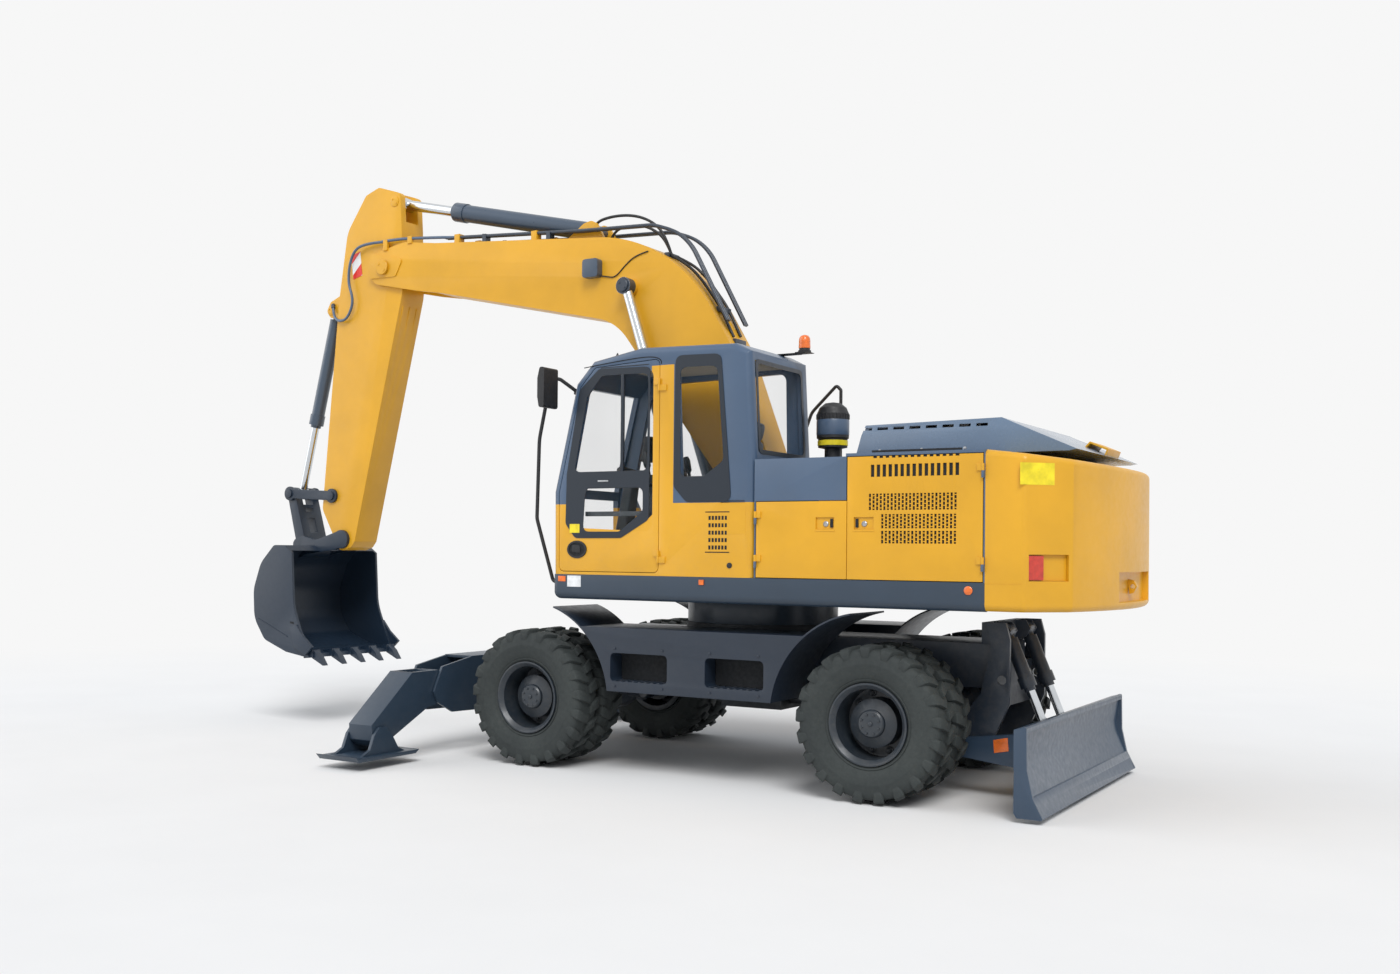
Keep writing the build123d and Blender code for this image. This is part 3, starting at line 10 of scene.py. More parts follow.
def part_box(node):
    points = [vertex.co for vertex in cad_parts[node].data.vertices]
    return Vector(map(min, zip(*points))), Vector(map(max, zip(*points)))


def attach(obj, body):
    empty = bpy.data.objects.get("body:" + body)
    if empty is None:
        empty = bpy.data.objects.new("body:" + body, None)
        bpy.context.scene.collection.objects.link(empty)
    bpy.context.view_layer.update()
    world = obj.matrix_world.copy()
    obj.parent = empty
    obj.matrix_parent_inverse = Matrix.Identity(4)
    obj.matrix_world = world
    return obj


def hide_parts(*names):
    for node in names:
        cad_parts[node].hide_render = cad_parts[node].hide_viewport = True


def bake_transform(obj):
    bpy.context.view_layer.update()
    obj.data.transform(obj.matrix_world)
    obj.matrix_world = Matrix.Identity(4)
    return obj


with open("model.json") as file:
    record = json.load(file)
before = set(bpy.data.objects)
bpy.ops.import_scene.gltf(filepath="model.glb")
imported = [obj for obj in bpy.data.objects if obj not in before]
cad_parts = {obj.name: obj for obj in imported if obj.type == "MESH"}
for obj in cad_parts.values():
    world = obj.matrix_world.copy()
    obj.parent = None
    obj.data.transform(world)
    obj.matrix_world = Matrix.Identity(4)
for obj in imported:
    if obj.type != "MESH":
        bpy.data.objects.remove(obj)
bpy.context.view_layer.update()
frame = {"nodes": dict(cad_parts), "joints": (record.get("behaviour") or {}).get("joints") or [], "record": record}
NODES = frame["nodes"]
BODY_OF = {node: body for body, nodes in frame["record"]["behaviour"]["bodies"].items() for node in nodes}
PIN = {joint["name"]: Vector(joint["pos_m"]) for joint in frame["joints"] if "pos_m" in joint}
SLEW = PIN["slew"].x      # the machine is drawn about its slew axis
scene = bpy.context.scene
scene.view_settings.view_transform = "Standard"
SIDES = (("left", 1), ("right", -1))


def at(x, y, z):
    """A point given from the slew axis, in the part's frame."""
    return Vector((SLEW + x, y, z))


# ---------------------------------------------------------------- camera
CAMERA_AT = at(-4.945, 9.681, 1.659)
CAMERA_YAW = radians(-57.552)
CAMERA_PITCH = radians(0.456)
CAMERA_ROLL = radians(0.541)
CAMERA_LENS = 35.26


def make_camera():
    level = cos(CAMERA_PITCH)
    ahead = Vector((level * cos(CAMERA_YAW), level * sin(CAMERA_YAW), sin(CAMERA_PITCH)))
    right = ahead.cross(Vector((0, 0, 1))).normalized()
    up = right.cross(ahead)
    right, up = (cos(CAMERA_ROLL) * right + sin(CAMERA_ROLL) * up,
                 cos(CAMERA_ROLL) * up - sin(CAMERA_ROLL) * right)
    data = bpy.data.cameras.new("camera")
    data.lens = CAMERA_LENS
    data.sensor_width = 36
    data.shift_x = 0.0471
    data.shift_y = 0.0379
    data.clip_end = 300
    camera = bpy.data.objects.new("camera", data)
    scene.collection.objects.link(camera)
    turn = Matrix((right, up, -ahead)).transposed()
    camera.matrix_world = Matrix.Translation(CAMERA_AT) @ turn.to_4x4()
    scene.camera = camera


make_camera()

# ---------------------------------------------------------------- node helpers for materials


class Shader:
    """The node tree of a material or of the world, with short calls for the nodes used here."""

    def __init__(self, owner, output="ShaderNodeOutputMaterial"):
        self.owner = bpy.data.materials.new(owner) if isinstance(owner, str) else owner
        self.owner.use_nodes = True
        self.tree = self.owner.node_tree
        self.tree.nodes.clear()
        self.output = self.add(output)
        self.place = self.add("ShaderNodeTexCoord").outputs["Object"]

    def add(self, kind, inputs=None, **values):
        """A node. Each of its inputs takes a number, a colour of three numbers, or another node's output."""
        node = self.tree.nodes.new(kind)
        for key, value in values.items():
            setattr(node, key, value)
        for key, value in (inputs or {}).items():
            if isinstance(value, (int, float)):
                node.inputs[key].default_value = value
            elif isinstance(value, tuple):
                node.inputs[key].default_value = (*value, 1)
            else:
                self.tree.links.new(value, node.inputs[key])
        return node

    def noise(self, scale, detail=4.0, roughness=0.55):
        values = {"Scale": scale, "Detail": detail, "Roughness": roughness, "Vector": self.place}
        return self.add("ShaderNodeTexNoise", values).outputs["Fac"]

    def wave(self, direction, scale):
        values = {"Scale": scale, "Vector": self.place}
        node = self.add("ShaderNodeTexWave", values, wave_type="BANDS", bands_direction=direction)
        return node.outputs["Fac"]

    def axes(self):
        """The place's X, Y and Z."""
        return self.add("ShaderNodeSeparateXYZ", {0: self.place}).outputs

    def ramp(self, source, low, high, from_value=0.0, to_value=1.0):
        """source between low and high is carried to from_value and to_value, and held beyond them."""
        keys = ("Value", "From Min", "From Max", "To Min", "To Max")
        values = dict(zip(keys, (source, low, high, from_value, to_value)))
        return self.add("ShaderNodeMapRange", values, clamp=True).outputs["Result"]

    def mix(self, factor, first, second):
        return self.add("ShaderNodeMix", {0: factor, 6: first, 7: second}, data_type="RGBA").outputs[2]

    def math(self, operation, first, second):
        return self.add("ShaderNodeMath", {0: first, 1: second}, operation=operation).outputs[0]

    def bump(self, height, strength, distance, normal=None):
        values = {"Height": height, "Strength": strength, "Distance": distance}
        if normal is not None:
            values["Normal"] = normal
        return self.add("ShaderNodeBump", values).outputs["Normal"]

    def finish(self, surface):
        """Ends the tree with a shader's output and gives its material back."""
        self.tree.links.new(surface, self.output.inputs["Surface"])
        return self.owner

    def principled(self, **values):
        inputs = {key.replace("_", " "): value for key, value in values.items()}
        return self.finish(self.add("ShaderNodeBsdfPrincipled", inputs).outputs[0])

    def finish_paint(self, colour, roughness, dust, coat):
        """The skin of all paints: slow changes of tone, orange peel, and dust that gathers low down."""
        shade = self.add("ShaderNodeHueSaturation", {"Value": SHADE_VALUE, "Color": colour}).outputs["Color"]
        tone = self.mix(self.ramp(self.noise(1.7, 5), 0.35, 0.65), colour, shade)
        low_down = self.ramp(self.axes()["Z"], DUST_LOW, DUST_HIGH, 1.0, 0.1)
        dusty = self.ramp(self.noise(14.0, 8, 0.7), 0.45, 0.75, 0.0, dust * 3)
        tone = self.mix(self.math("MULTIPLY", dusty, low_down), tone, DUST)
        rough = self.ramp(self.noise(24.0, 6), 0.3, 0.7, roughness - 0.05, roughness + 0.08)
        peel = self.bump(self.noise(420.0, 2), 0.03, 0.0004)
        dents = self.bump(self.noise(2.6, 3), 0.08, 0.004, peel)
        return self.principled(Base_Color=tone, Roughness=rough, Normal=dents, Coat_Weight=coat,
                               Coat_Roughness=0.22, Specular_IOR_Level=0.5)


SHADE_VALUE = 0.88       # how dark the darker patches of a paint are
DUST = (0.20, 0.18, 0.15)
DUST_LOW, DUST_HIGH = 0.2, 2.4   # heights between which dust thins out


def darker(colour, share):
    return tuple(c * share for c in colour)


def painted(name, colour, roughness, dust, coat=0.25):
    """Sprayed steel."""
    return Shader(name).finish_paint(colour, roughness, dust, coat)


def two_tone(name, low_colour, high_colour, line_z, pillar_x, pillar_y, pillar_top):
    """The cab's paint: one colour up to a line, another above it, and the first again on one pillar."""
    s = Shader(name)
    axes = s.axes()
    below = s.math("LESS_THAN", axes["Z"], line_z)
    on_pillar = s.math("LESS_THAN", axes["Z"], pillar_top)
    for axis, operation, value in (("X", "GREATER_THAN", pillar_x[0]), ("X", "LESS_THAN", pillar_x[1]),
                                   ("Y", "GREATER_THAN", pillar_y)):
        on_pillar = s.math("MULTIPLY", on_pillar, s.math(operation, axes[axis], value))
    first = s.math("MAXIMUM", below, on_pillar)
    return s.finish_paint(s.mix(first, high_colour, low_colour), 0.36, 0.05, 0.25)


def skin(name, colour, share, cloud, rough, grain, metallic=0.0):
    """Clouds of a darker tone, uneven roughness and a grain. Each takes a noise's scale and detail, and then
    the cloud's two edges, the roughness's two ends, or the grain's strength and depth."""
    s = Shader(name)
    tone = s.mix(s.ramp(s.noise(*cloud[:2]), *cloud[2:]), colour, darker(colour, share))
    return s.principled(Base_Color=tone, Roughness=s.ramp(s.noise(*rough[:2]), 0.3, 0.7, *rough[2:]),
                        Normal=s.bump(s.noise(*grain[:2]), *grain[2:]), Metallic=metallic)


def cast_metal(name, colour):
    """Cast or oily steel with a coarse skin."""
    return skin(name, colour, 0.55, (7.0, 7, 0.35, 0.7), (15.0, 5, 0.48, 0.70), (120.0, 5, 0.35, 0.002), 0.25)


def rubber(name, colour, dusty):
    """Tyre rubber: finely dusted, with a grain that shows only from close by."""
    s = Shader(name)
    cloudy = s.ramp(s.noise(2.2, 6, 0.6), 0.35, 0.65, 0.15, 0.55)
    fine = s.ramp(s.noise(55.0, 7, 0.7), 0.35, 0.65, 0.6, 1.2)
    tone = s.mix(s.math("MULTIPLY", cloudy, fine), colour, dusty)
    rough = s.ramp(s.noise(30.0, 5), 0.3, 0.7, 0.68, 0.85)
    grain = s.bump(s.noise(260.0, 4), 0.25, 0.0012)
    return s.principled(Base_Color=tone, Roughness=rough, Normal=grain, Specular_IOR_Level=0.4)


def plastic(name, colour, roughness=0.55, scale=260.0):
    """Grained moulding."""
    return skin(name, colour, 0.7, (12.0, 4, 0.35, 0.65), (40.0, 3, roughness - 0.08, roughness + 0.08),
                (scale, 3, 0.25, 0.0008))


def polished(name, colour, roughness=0.14):
    """Hard chrome or plating with fine marks."""
    return skin(name, colour, 0.88, (5.0, 4, 0.3, 0.7), (70.0, 4, roughness - 0.05, roughness + 0.10),
                (300.0, 3, 0.05, 0.0004), 1.0)


def window_glass(name, colour, clear):
    """Tinted safety glass; clear is the share of light that passes straight through."""
    s = Shader(name)
    smear = s.ramp(s.noise(2.0, 3), 0.4, 0.7, 0.02, 0.05)
    veil = s.ramp(s.noise(0.9, 2), 0.3, 0.7, 1 - clear - 0.02, 1 - clear + 0.02)
    return s.principled(Base_Color=colour, Roughness=smear, Alpha=veil, Specular_IOR_Level=0.6)


def lens(name, colour):
    """Moulded lamp lens with fine prisms."""
    s = Shader(name)
    tone = s.mix(s.ramp(s.noise(30.0, 3), 0.3, 0.7), colour, darker(colour, 0.7))
    prisms = s.bump(s.wave("Z", 45.0), 0.25, 0.001)
    return s.principled(Base_Color=tone, Roughness=0.2, Normal=prisms, Coat_Weight=0.6)


def woven(name, colour):
    """Seat cloth with a fine weave."""
    s = Shader(name)
    weave = s.math("MULTIPLY", s.wave("X", 130.0), s.wave("Z", 130.0))
    tone = s.mix(s.ramp(weave, 0.0, 1.0), darker(colour, 0.6), colour)
    return s.principled(Base_Color=tone, Roughness=0.9, Normal=s.bump(weave, 0.5, 0.001), Sheen_Weight=0.3)


def striped(name, first, second):
    """A reflective board with slanted stripes of two colours."""
    s = Shader(name)
    tone = s.mix(s.ramp(s.wave("DIAGONAL", 2.6), 0.48, 0.52), first, second)
    beads = s.bump(s.noise(600.0, 2), 0.3, 0.0005)
    rough = s.ramp(s.noise(80.0, 3), 0.3, 0.7, 0.25, 0.4)
    return s.principled(Base_Color=tone, Roughness=rough, Normal=beads)


YELLOW_TONE = (0.72, 0.365, 0.010)
PAINT = {
    "yellow_paint": painted("yellow_paint", YELLOW_TONE, 0.40, 0.01, 0.10),
    "slate_paint": painted("slate_paint", (0.068, 0.112, 0.185), 0.38, 0.06),
    "dark_paint": painted("dark_paint", (0.022, 0.034, 0.054), 0.45, 0.08),
    "chrome_rod": polished("chrome_rod", (0.66, 0.69, 0.72)),
    "tyre_rubber": rubber("tyre_rubber", (0.022, 0.027, 0.028), (0.052, 0.061, 0.058)),
    "rim_paint": painted("rim_paint", (0.018, 0.026, 0.036), 0.42, 0.05),
    "cast_grey": cast_metal("cast_grey", (0.030, 0.036, 0.044)),
    "glass": window_glass("glass", (0.03, 0.06, 0.08), 0.95),
    "seat_fabric": woven("seat_fabric", (0.040, 0.055, 0.075)),
    "black_plastic": plastic("black_plastic", (0.014, 0.015, 0.018)),
    "lamp_lens": lens("lamp_lens", (0.90, 0.17, 0.010)),
}
YELLOW, SLATE, DARK, BLACK, AMBER = (
    PAINT[slot] for slot in ("yellow_paint", "slate_paint", "dark_paint", "black_plastic", "lamp_lens"))
CAB_LINE = 2.005         # height where the cab's yellow meets its slate
CAB_SLATE = (0.052, 0.094, 0.165)
PILLAR_X = (SLEW + 0.088, SLEW + 0.276)     # the pillar behind the door, yellow up to the roof
PILLAR_Y, PILLAR_TOP = 1.12, 3.0
CAB_PAINT = two_tone("cab_two_tone", YELLOW_TONE, CAB_SLATE, CAB_LINE, PILLAR_X, PILLAR_Y, PILLAR_TOP)
LOW_SLATE = painted("undercarriage_slate", (0.012, 0.021, 0.037), 0.42, 0.01, 0.15)
DECK_SLATE = painted("deck_slate", (0.024, 0.043, 0.070), 0.38, 0.01, 0.15)
BLADE_SLATE = painted("blade_slate", (0.030, 0.056, 0.096), 0.36, 0.01, 0.15)
HOOD_SLATE = painted("hood_slate", (0.105, 0.165, 0.255), 0.24, 0.01, 0.6)
BUCKET_DARK = painted("bucket_paint", (0.010, 0.022, 0.042), 0.42, 0.0, 0.15)
CYLINDER = painted("cylinder_slate", (0.040, 0.066, 0.105), 0.32, 0.01, 0.4)
RED_LENS = lens("red_lens", (0.62, 0.035, 0.015))
WHITE_LENS = lens("white_lens", (0.75, 0.78, 0.80))
MASK = painted("window_mask", (0.008, 0.015, 0.026), 0.34, 0.0, 0.0)
HOSE = plastic("hose_rubber", (0.012, 0.014, 0.017), 0.5, 340.0)
BOLT = polished("plated_steel", (0.42, 0.43, 0.45), 0.35)
# Near-black: painted shade in slots, vents, recesses and behind openings, and the dark of joints.
PAINTED_SHADE_AND_JOINTS = plastic("painted_shade_and_joints", (0.006, 0.008, 0.011), 0.8)
LABEL = plastic("label_yellow", (0.92, 0.74, 0.02), 0.35, 700.0)
PLATE_WHITE = plastic("plate_white", (0.82, 0.84, 0.86), 0.4, 700.0)
TRIM_GREY = plastic("cab_trim", (0.060, 0.068, 0.075), 0.6)
HEAD_LINING = woven("head_lining", (0.42, 0.38, 0.26))
STRIPES = striped("marker_stripes", (0.70, 0.03, 0.02), (0.80, 0.80, 0.80))

# ---------------------------------------------------------------- light and floor
WHITE = (0.93, 0.93, 0.93)
SKY_LIGHT, SKY_STRENGTH = (0.93, 0.96, 1.0), 0.58
FLOOR_NEAR = 7.0         # radius within which the floor takes the shadow
FLOOR_FAR = 14.0


def make_light():
    scene.world = bpy.data.worlds.new("studio")
    s = Shader(scene.world, "ShaderNodeOutputWorld")
    rays = s.add("ShaderNodeLightPath").outputs
    direct = s.math("MAXIMUM", rays["Is Camera Ray"], rays["Is Glossy Ray"])
    direct = s.math("MAXIMUM", direct, rays["Is Transmission Ray"])
    lit = s.add("ShaderNodeBackground", {"Color": SKY_LIGHT, "Strength": SKY_STRENGTH})
    seen = s.add("ShaderNodeBackground", {"Color": WHITE, "Strength": 1.0})
    s.finish(s.add("ShaderNodeMixShader", {0: direct, 1: lit.outputs[0], 2: seen.outputs[0]}).outputs[0])
    # name, from where, towards the machine's middle, strength, size of the source in degrees
    for name, where, strength, spread in (("key", (-5, 7, 9), 2.1, 30), ("fill", (9, 5, 5), 0.8, 60)):
        sun = bpy.data.lights.new(name, "SUN")
        sun.energy = strength
        sun.angle = radians(spread)
        lamp = bpy.data.objects.new(name, sun)
        scene.collection.objects.link(lamp)
        lamp.rotation_euler = (-Vector(where)).to_track_quat("-Z", "Y").to_euler()


def make_floor():
    s = Shader("floor")
    radius = s.add("ShaderNodeVectorMath", {0: s.place}, operation="LENGTH").outputs["Value"]
    far = s.ramp(radius, FLOOR_NEAR, FLOOR_FAR)
    tone = s.mix(s.ramp(s.noise(0.8, 3), 0.3, 0.7), (0.80, 0.80, 0.80), (0.78, 0.78, 0.78))
    matt = s.add("ShaderNodeBsdfDiffuse", {"Color": tone}).outputs[0]
    glow = s.add("ShaderNodeEmission", {"Color": WHITE}).outputs[0]
    material = s.finish(s.add("ShaderNodeMixShader", {0: far, 1: matt, 2: glow}).outputs[0])
    bpy.ops.mesh.primitive_circle_add(vertices=96, radius=90, fill_type="NGON", location=(0, 0, -0.001))
    floor = bpy.context.object
    floor.name = "floor"
    floor.data.materials.append(material)


make_light()
make_floor()

# ---------------------------------------------------------------- mesh helpers
ARC_STEPS = 4
SLOT = {part["node"]: part["material_slot"] for part in frame["record"]["subparts"]}


def add_piece(name, body, material, data):
    """An object that rides on a body, with one material."""
    piece = bpy.data.objects.new(name, data)
    scene.collection.objects.link(piece)
    data.materials.clear()
    data.materials.append(material)
    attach(piece, body)
    return piece


def bevel_edges(work, angle, width, segments=2):
    edges = [e for e in work.edges if len(e.link_faces) == 2 and e.calc_face_angle(0) > radians(angle)]
    bmesh.ops.bevel(work, geom=edges, offset=width, segments=segments, profile=0.7, affect="EDGES",
                    clamp_overlap=True)


def finish_mesh(work, name, bevel=0.0, segments=2, smooth_angle=35):
    """Turns a bmesh into a mesh, its sharp edges rounded by a width and the rest shaded smooth."""
    bmesh.ops.recalc_face_normals(work, faces=work.faces)
    if bevel:
        bevel_edges(work, smooth_angle, bevel, segments)
    mesh = bpy.data.meshes.new(name)
    work.to_mesh(mesh)
    work.free()
    for face in mesh.polygons:
        face.use_smooth = True
    mesh.set_sharp_from_angle(angle=radians(smooth_angle))
    return mesh


def full_turn(steps):
    return [2 * pi * k / steps for k in range(steps)]


def rounded(points, radius):
    """An outline with its corners rounded by arcs of ARC_STEPS steps."""
    result = []
    for index, corner in enumerate(points):
        here = Vector(corner)
        back = Vector(points[index - 1]) - here
        ahead = Vector(points[(index + 1) % len(points)]) - here
        half = back.angle(ahead) / 2
        cut = min(radius / tan(half), back.length * 0.48, ahead.length * 0.48)
        start, end = here + back.normalized() * cut, here + ahead.normalized() * cut
        for step in range(ARC_STEPS + 1):
            t = step / ARC_STEPS
            result.append(tuple((1 - t) ** 2 * start + 2 * t * (1 - t) * here + t * t * end))
    return result


class Shape:
    """A mesh that grows by prisms, plates and turned forms; x is given from the slew axis."""

    def __init__(self):
        self.work = bmesh.new()

    def ring(self, outline, across, level):
        axis = "XYZ".index(across)
        return [self.work.verts.new(at(*pair[:axis], level, *pair[axis:])) for pair in outline]

    def walls(self, first, second):
        for i in range(len(first)):
            self.work.faces.new((first[i - 1], first[i], second[i], second[i - 1]))

    def prism(self, outline, across, low, high):
        """An outline in the other two axes, carried from low to high along one."""
        first, second = self.ring(outline, across, low), self.ring(outline, across, high)
        self.work.faces.new(first)
        self.work.faces.new(second)
        self.walls(first, second)
        return self

    def plate(self, outline, holes, across, low, high):
        """A prism with holes through it."""
        for level in (low, high):
            edges = []
            for loop in (outline, *holes):
                ring = self.ring(loop, across, level)
                edges += [self.work.edges.new((ring[i - 1], ring[i])) for i in range(len(ring))]
            bmesh.ops.triangle_fill(self.work, use_beauty=True, use_dissolve=False, edges=edges)
        for loop in (outline, *holes):
            self.walls(self.ring(loop, across, low), self.ring(loop, across, high))
        bmesh.ops.remove_doubles(self.work, verts=self.work.verts, dist=0.00001)
        return self

    def box(self, low, high):
        return self.prism([(low[0], low[1]), (high[0], low[1]), (high[0], high[1]), (low[0], high[1])], "Z",
                          low[2], high[2])

    def turned(self, profile, centre, axis, steps):
        """A profile of radius and height turned about an axis through a centre."""
        along = Vector(axis).normalized()
        side = along.orthogonal().normalized()
        other = along.cross(side)
        middle = at(*centre)
        rings = []
        for radius, height in profile:
            if radius < 1e-6:
                rings.append([self.work.verts.new(middle + along * height)])
                continue
            heart = middle + along * height
            rings.append([self.work.verts.new(heart + radius * (cos(t) * side + sin(t) * other))
                          for t in full_turn(steps)])
        for first, second in zip(rings, rings[1:]):
            if len(first) == 1 and len(second) == 1:
                continue
            if len(first) == 1 or len(second) == 1:
                tip, loop = (first[0], second) if len(first) == 1 else (second[0], first)
                for k in range(steps):
                    self.work.faces.new((tip, loop[k - 1], loop[k]))
            else:
                self.walls(first, second)
        for loop in (rings[0], rings[-1]):
            if len(loop) > 1:
                self.work.faces.new(loop)
        return self

    def bolt(self, centre, axis, size, height):
        """A six-sided head on a washer."""
        self.turned([(size * 1.25, 0), (size * 1.25, height * 0.25), (size, height * 0.25)], centre, axis, 16)
        head = [(size, height * 0.2), (size, height * 0.9), (size * 0.85, height)]
        return self.turned(head, centre, axis, 6)

    def piece(self, name, body, material, bevel=0.0, segments=2):
        return add_piece(name, body, material, finish_mesh(self.work, name, bevel, segments))


def blocks(name, body, material, bevel, *corners):
    """A piece made of upright boxes, each given by two opposite corners."""
    shape = Shape()
    for low, high in zip(corners[::2], corners[1::2]):
        shape.box(low, high)
    return shape.piece(name, body, material, bevel)


def route_curve(name, points, radius):
    """One smooth curve with points as its control points, and a round section unless radius is 0."""
    data = bpy.data.curves.new(name, "CURVE")
    data.dimensions = "3D"
    data.bevel_depth = radius
    data.bevel_resolution = 3
    data.use_fill_caps = True
    spline = data.splines.new("NURBS")
    spline.points.add(len(points) - 1)
    for control, place in zip(spline.points, points):
        control.co = (*at(*place), 1)
    spline.order_u = 3
    spline.use_endpoint_u = True
    spline.resolution_u = 8
    return data


def line(name, body, material, points, radius):
    """A pipe, hose or wire that the object holds all the way."""
    return add_piece(name, body, material, route_curve(name, points, radius))


def soften(node, bevel, material=None, segments=2):
    """Stands in for a CAD node with the same form, its sharp edges rounded to catch the light."""
    work = bmesh.new()
    work.from_mesh(NODES[node].data)
    bmesh.ops.remove_doubles(work, verts=work.verts, dist=0.00002)
    bmesh.ops.dissolve_limit(work, angle_limit=radians(0.8), use_dissolve_boundaries=False,
                             verts=work.verts, edges=work.edges)
    mesh = finish_mesh(work, node + "_soft", bevel, segments, 28)
    piece = add_piece(node + "_skin", BODY_OF[node], material or PAINT[SLOT[node]], mesh)
    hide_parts(node)
    return piece


def dress_nodes():
    """Gives every CAD node the material of its slot."""
    for node, item in NODES.items():
        item.data.materials.clear()
        item.data.materials.append(PAINT[SLOT[node]])
    NODES["boom_pipes"].data.materials[0] = DARK


dress_nodes()

# width of the rounded edges, material in place of the slot's, nodes
SOFT_NODES = (
    (0.006, DECK_SLATE, "deck outrigger_beam outrigger_leg_left outrigger_leg_right"),
    (0.008, None, "counterweight"), (0.010, HOOD_SLATE, "engine_hood"), (0.012, None, "right_tanks"),
    (0.004, None, "left_front_door front_axle rear_axle"), (0.005, None, "boom stick blade_bracket"),
    (0.003, None, "left_rear_door right_rear_door house_frame knuckle_left knuckle_right"),
    (0.006, CAB_PAINT, "cab_frame"), (0.004, CAB_PAINT, "cab_door"),
    (0.004, BUCKET_DARK, "bucket bucket_link bucket_rockers"), (0.004, BLADE_SLATE, "blade"),
    (0.004, DECK_SLATE, "outrigger_foot_left outrigger_foot_right"), (0.006, LOW_SLATE, "side_boxes"),
    (0.006, DARK, "chassis_frame"), (0.003, DARK, "blade_cylinder_barrels"),
    (0.003, CYLINDER, "boom_cylinder_barrels stick_cylinder_barrel bucket_cylinder_barrel"))
for width, material, nodes in SOFT_NODES:
    for node in nodes.split():
        soften(node, width, material)

# ---------------------------------------------------------------- wheels
AXLE_Z = PIN["wheel_rear_left_spin"].z
TYRE_R = 0.5270          # just inside the CAD tyre
TWIN_HALF = 0.159
RIM_R = 0.275
TREAD_FLOOR = TYRE_R - 0.026
LUG_COUNT = 21
LUG_TILT = radians(24)
STUD_CIRCLE = 0.200
STUD_COUNT = 10
HUB_BOLTS, HUB_CIRCLE, HUB_TOP = 8, 0.066, 0.2245
# radius and distance from the tyre's middle, bead to crown
SIDEWALL = ((RIM_R, 0.100), (RIM_R + 0.012, 0.112), (RIM_R + 0.022, 0.116), (RIM_R + 0.026, 0.110),
            (RIM_R + 0.045, 0.121), (0.355, 0.131), (0.395, 0.1355), (0.402, 0.1370), (0.408, 0.1355),
            (0.430, 0.1345), (0.455, 0.1310), (0.478, 0.1240), (0.492, 0.1130), (0.499, 0.0950),
            (TREAD_FLOOR, 0.0500), (TREAD_FLOOR + 0.001, 0.0))
# distance from the tyre's middle, outer radius and thickness of a lug
LUG_STATIONS = ((0.006, TYRE_R - 0.0005, 0.064), (0.070, TYRE_R - 0.001, 0.078),
                (0.112, TYRE_R - 0.005, 0.088), (0.1345, TYRE_R - 0.018, 0.084), (0.1372, 0.478, 0.074),
                (0.1362, 0.448, 0.060))


def add_lug(work, turn, side, middle):
    """One lug, from the crown over the shoulder and down the sidewall."""
    rings = []
    for across, outer, thick in LUG_STATIONS:
        lean = turn + min(across, 0.125) * tan(LUG_TILT) / TYRE_R
        inner = min(outer - 0.026, TREAD_FLOOR - 0.012)
        ring = []
        for radius, half in ((outer, 0.42), (outer, -0.42), (inner, -0.5), (inner, 0.5)):
            angle = lean + half * thick / TYRE_R
            pull = 0.012 if radius == inner and across > 0.13 else 0.0
            place = (radius * cos(angle), radius * sin(angle), middle + side * (across - pull))
            ring.append(work.verts.new(place))
        rings.append(ring)
    for first, second in zip(rings, rings[1:]):
        for i in range(4):
            work.faces.new((first[i - 1], first[i], second[i], second[i - 1]))
    work.faces.new(rings[0])
    work.faces.new(rings[-1])


def tyre_mesh():
    """A twin pair about Z: carcasses turned smooth, lugs in two staggered rows each."""
    lugs = bmesh.new()
    for middle in (-TWIN_HALF, TWIN_HALF):
        for index in range(2 * LUG_COUNT):
            add_lug(lugs, pi * index / LUG_COUNT, 1 if index % 2 else -1, middle)
    bmesh.ops.recalc_face_normals(lugs, faces=lugs.faces)
    bevel_edges(lugs, 40, 0.005)
    steps = 96
    for middle in (-TWIN_HALF, TWIN_HALF):
        outline = [(r, y) for r, y in SIDEWALL] + [(r, -y) for r, y in reversed(SIDEWALL[:-1])]
        rings = []
        for radius, offset in outline:
            rings.append([lugs.verts.new((radius * cos(t), radius * sin(t), middle + offset))
                          for t in full_turn(steps)])
        for first, second in zip(rings, rings[1:] + rings[:1]):
            for k in range(steps):
                lugs.faces.new((first[k - 1], first[k], second[k], second[k - 1]))
    return finish_mesh(lugs, "twin_tyres", 0.0, smooth_angle=50)


def rim_details():
    """Nuts, studs, hub bolts and centre cap of one twin pair, about Z with its outer side up."""
    shape = Shape()
    origin = -SLEW
    for turn in full_turn(STUD_COUNT):
        place = (origin + STUD_CIRCLE * cos(turn), STUD_CIRCLE * sin(turn), 0.030)
        shape.turned([(0.026, 0), (0.026, 0.004), (0.021, 0.006)], place, (0, 0, 1), 18)
        shape.turned([(0.019, 0.004), (0.019, 0.022), (0.016, 0.026)], place, (0, 0, 1), 6)
        shape.turned([(0.0095, 0.02), (0.0095, 0.034), (0.007, 0.037)], place, (0, 0, 1), 10)
    for turn in full_turn(HUB_BOLTS):
        turn += pi / HUB_BOLTS
        place = (origin + HUB_CIRCLE * cos(turn), HUB_CIRCLE * sin(turn), HUB_TOP)
        shape.bolt(place, (0, 0, 1), 0.0085, 0.009)
    shape.turned([(0.017, 0), (0.017, 0.008), (0.012, 0.010)], (origin, 0, HUB_TOP), (0, 0, 1), 6)
    return finish_mesh(shape.work, "rim_fittings", 0.001, 1)


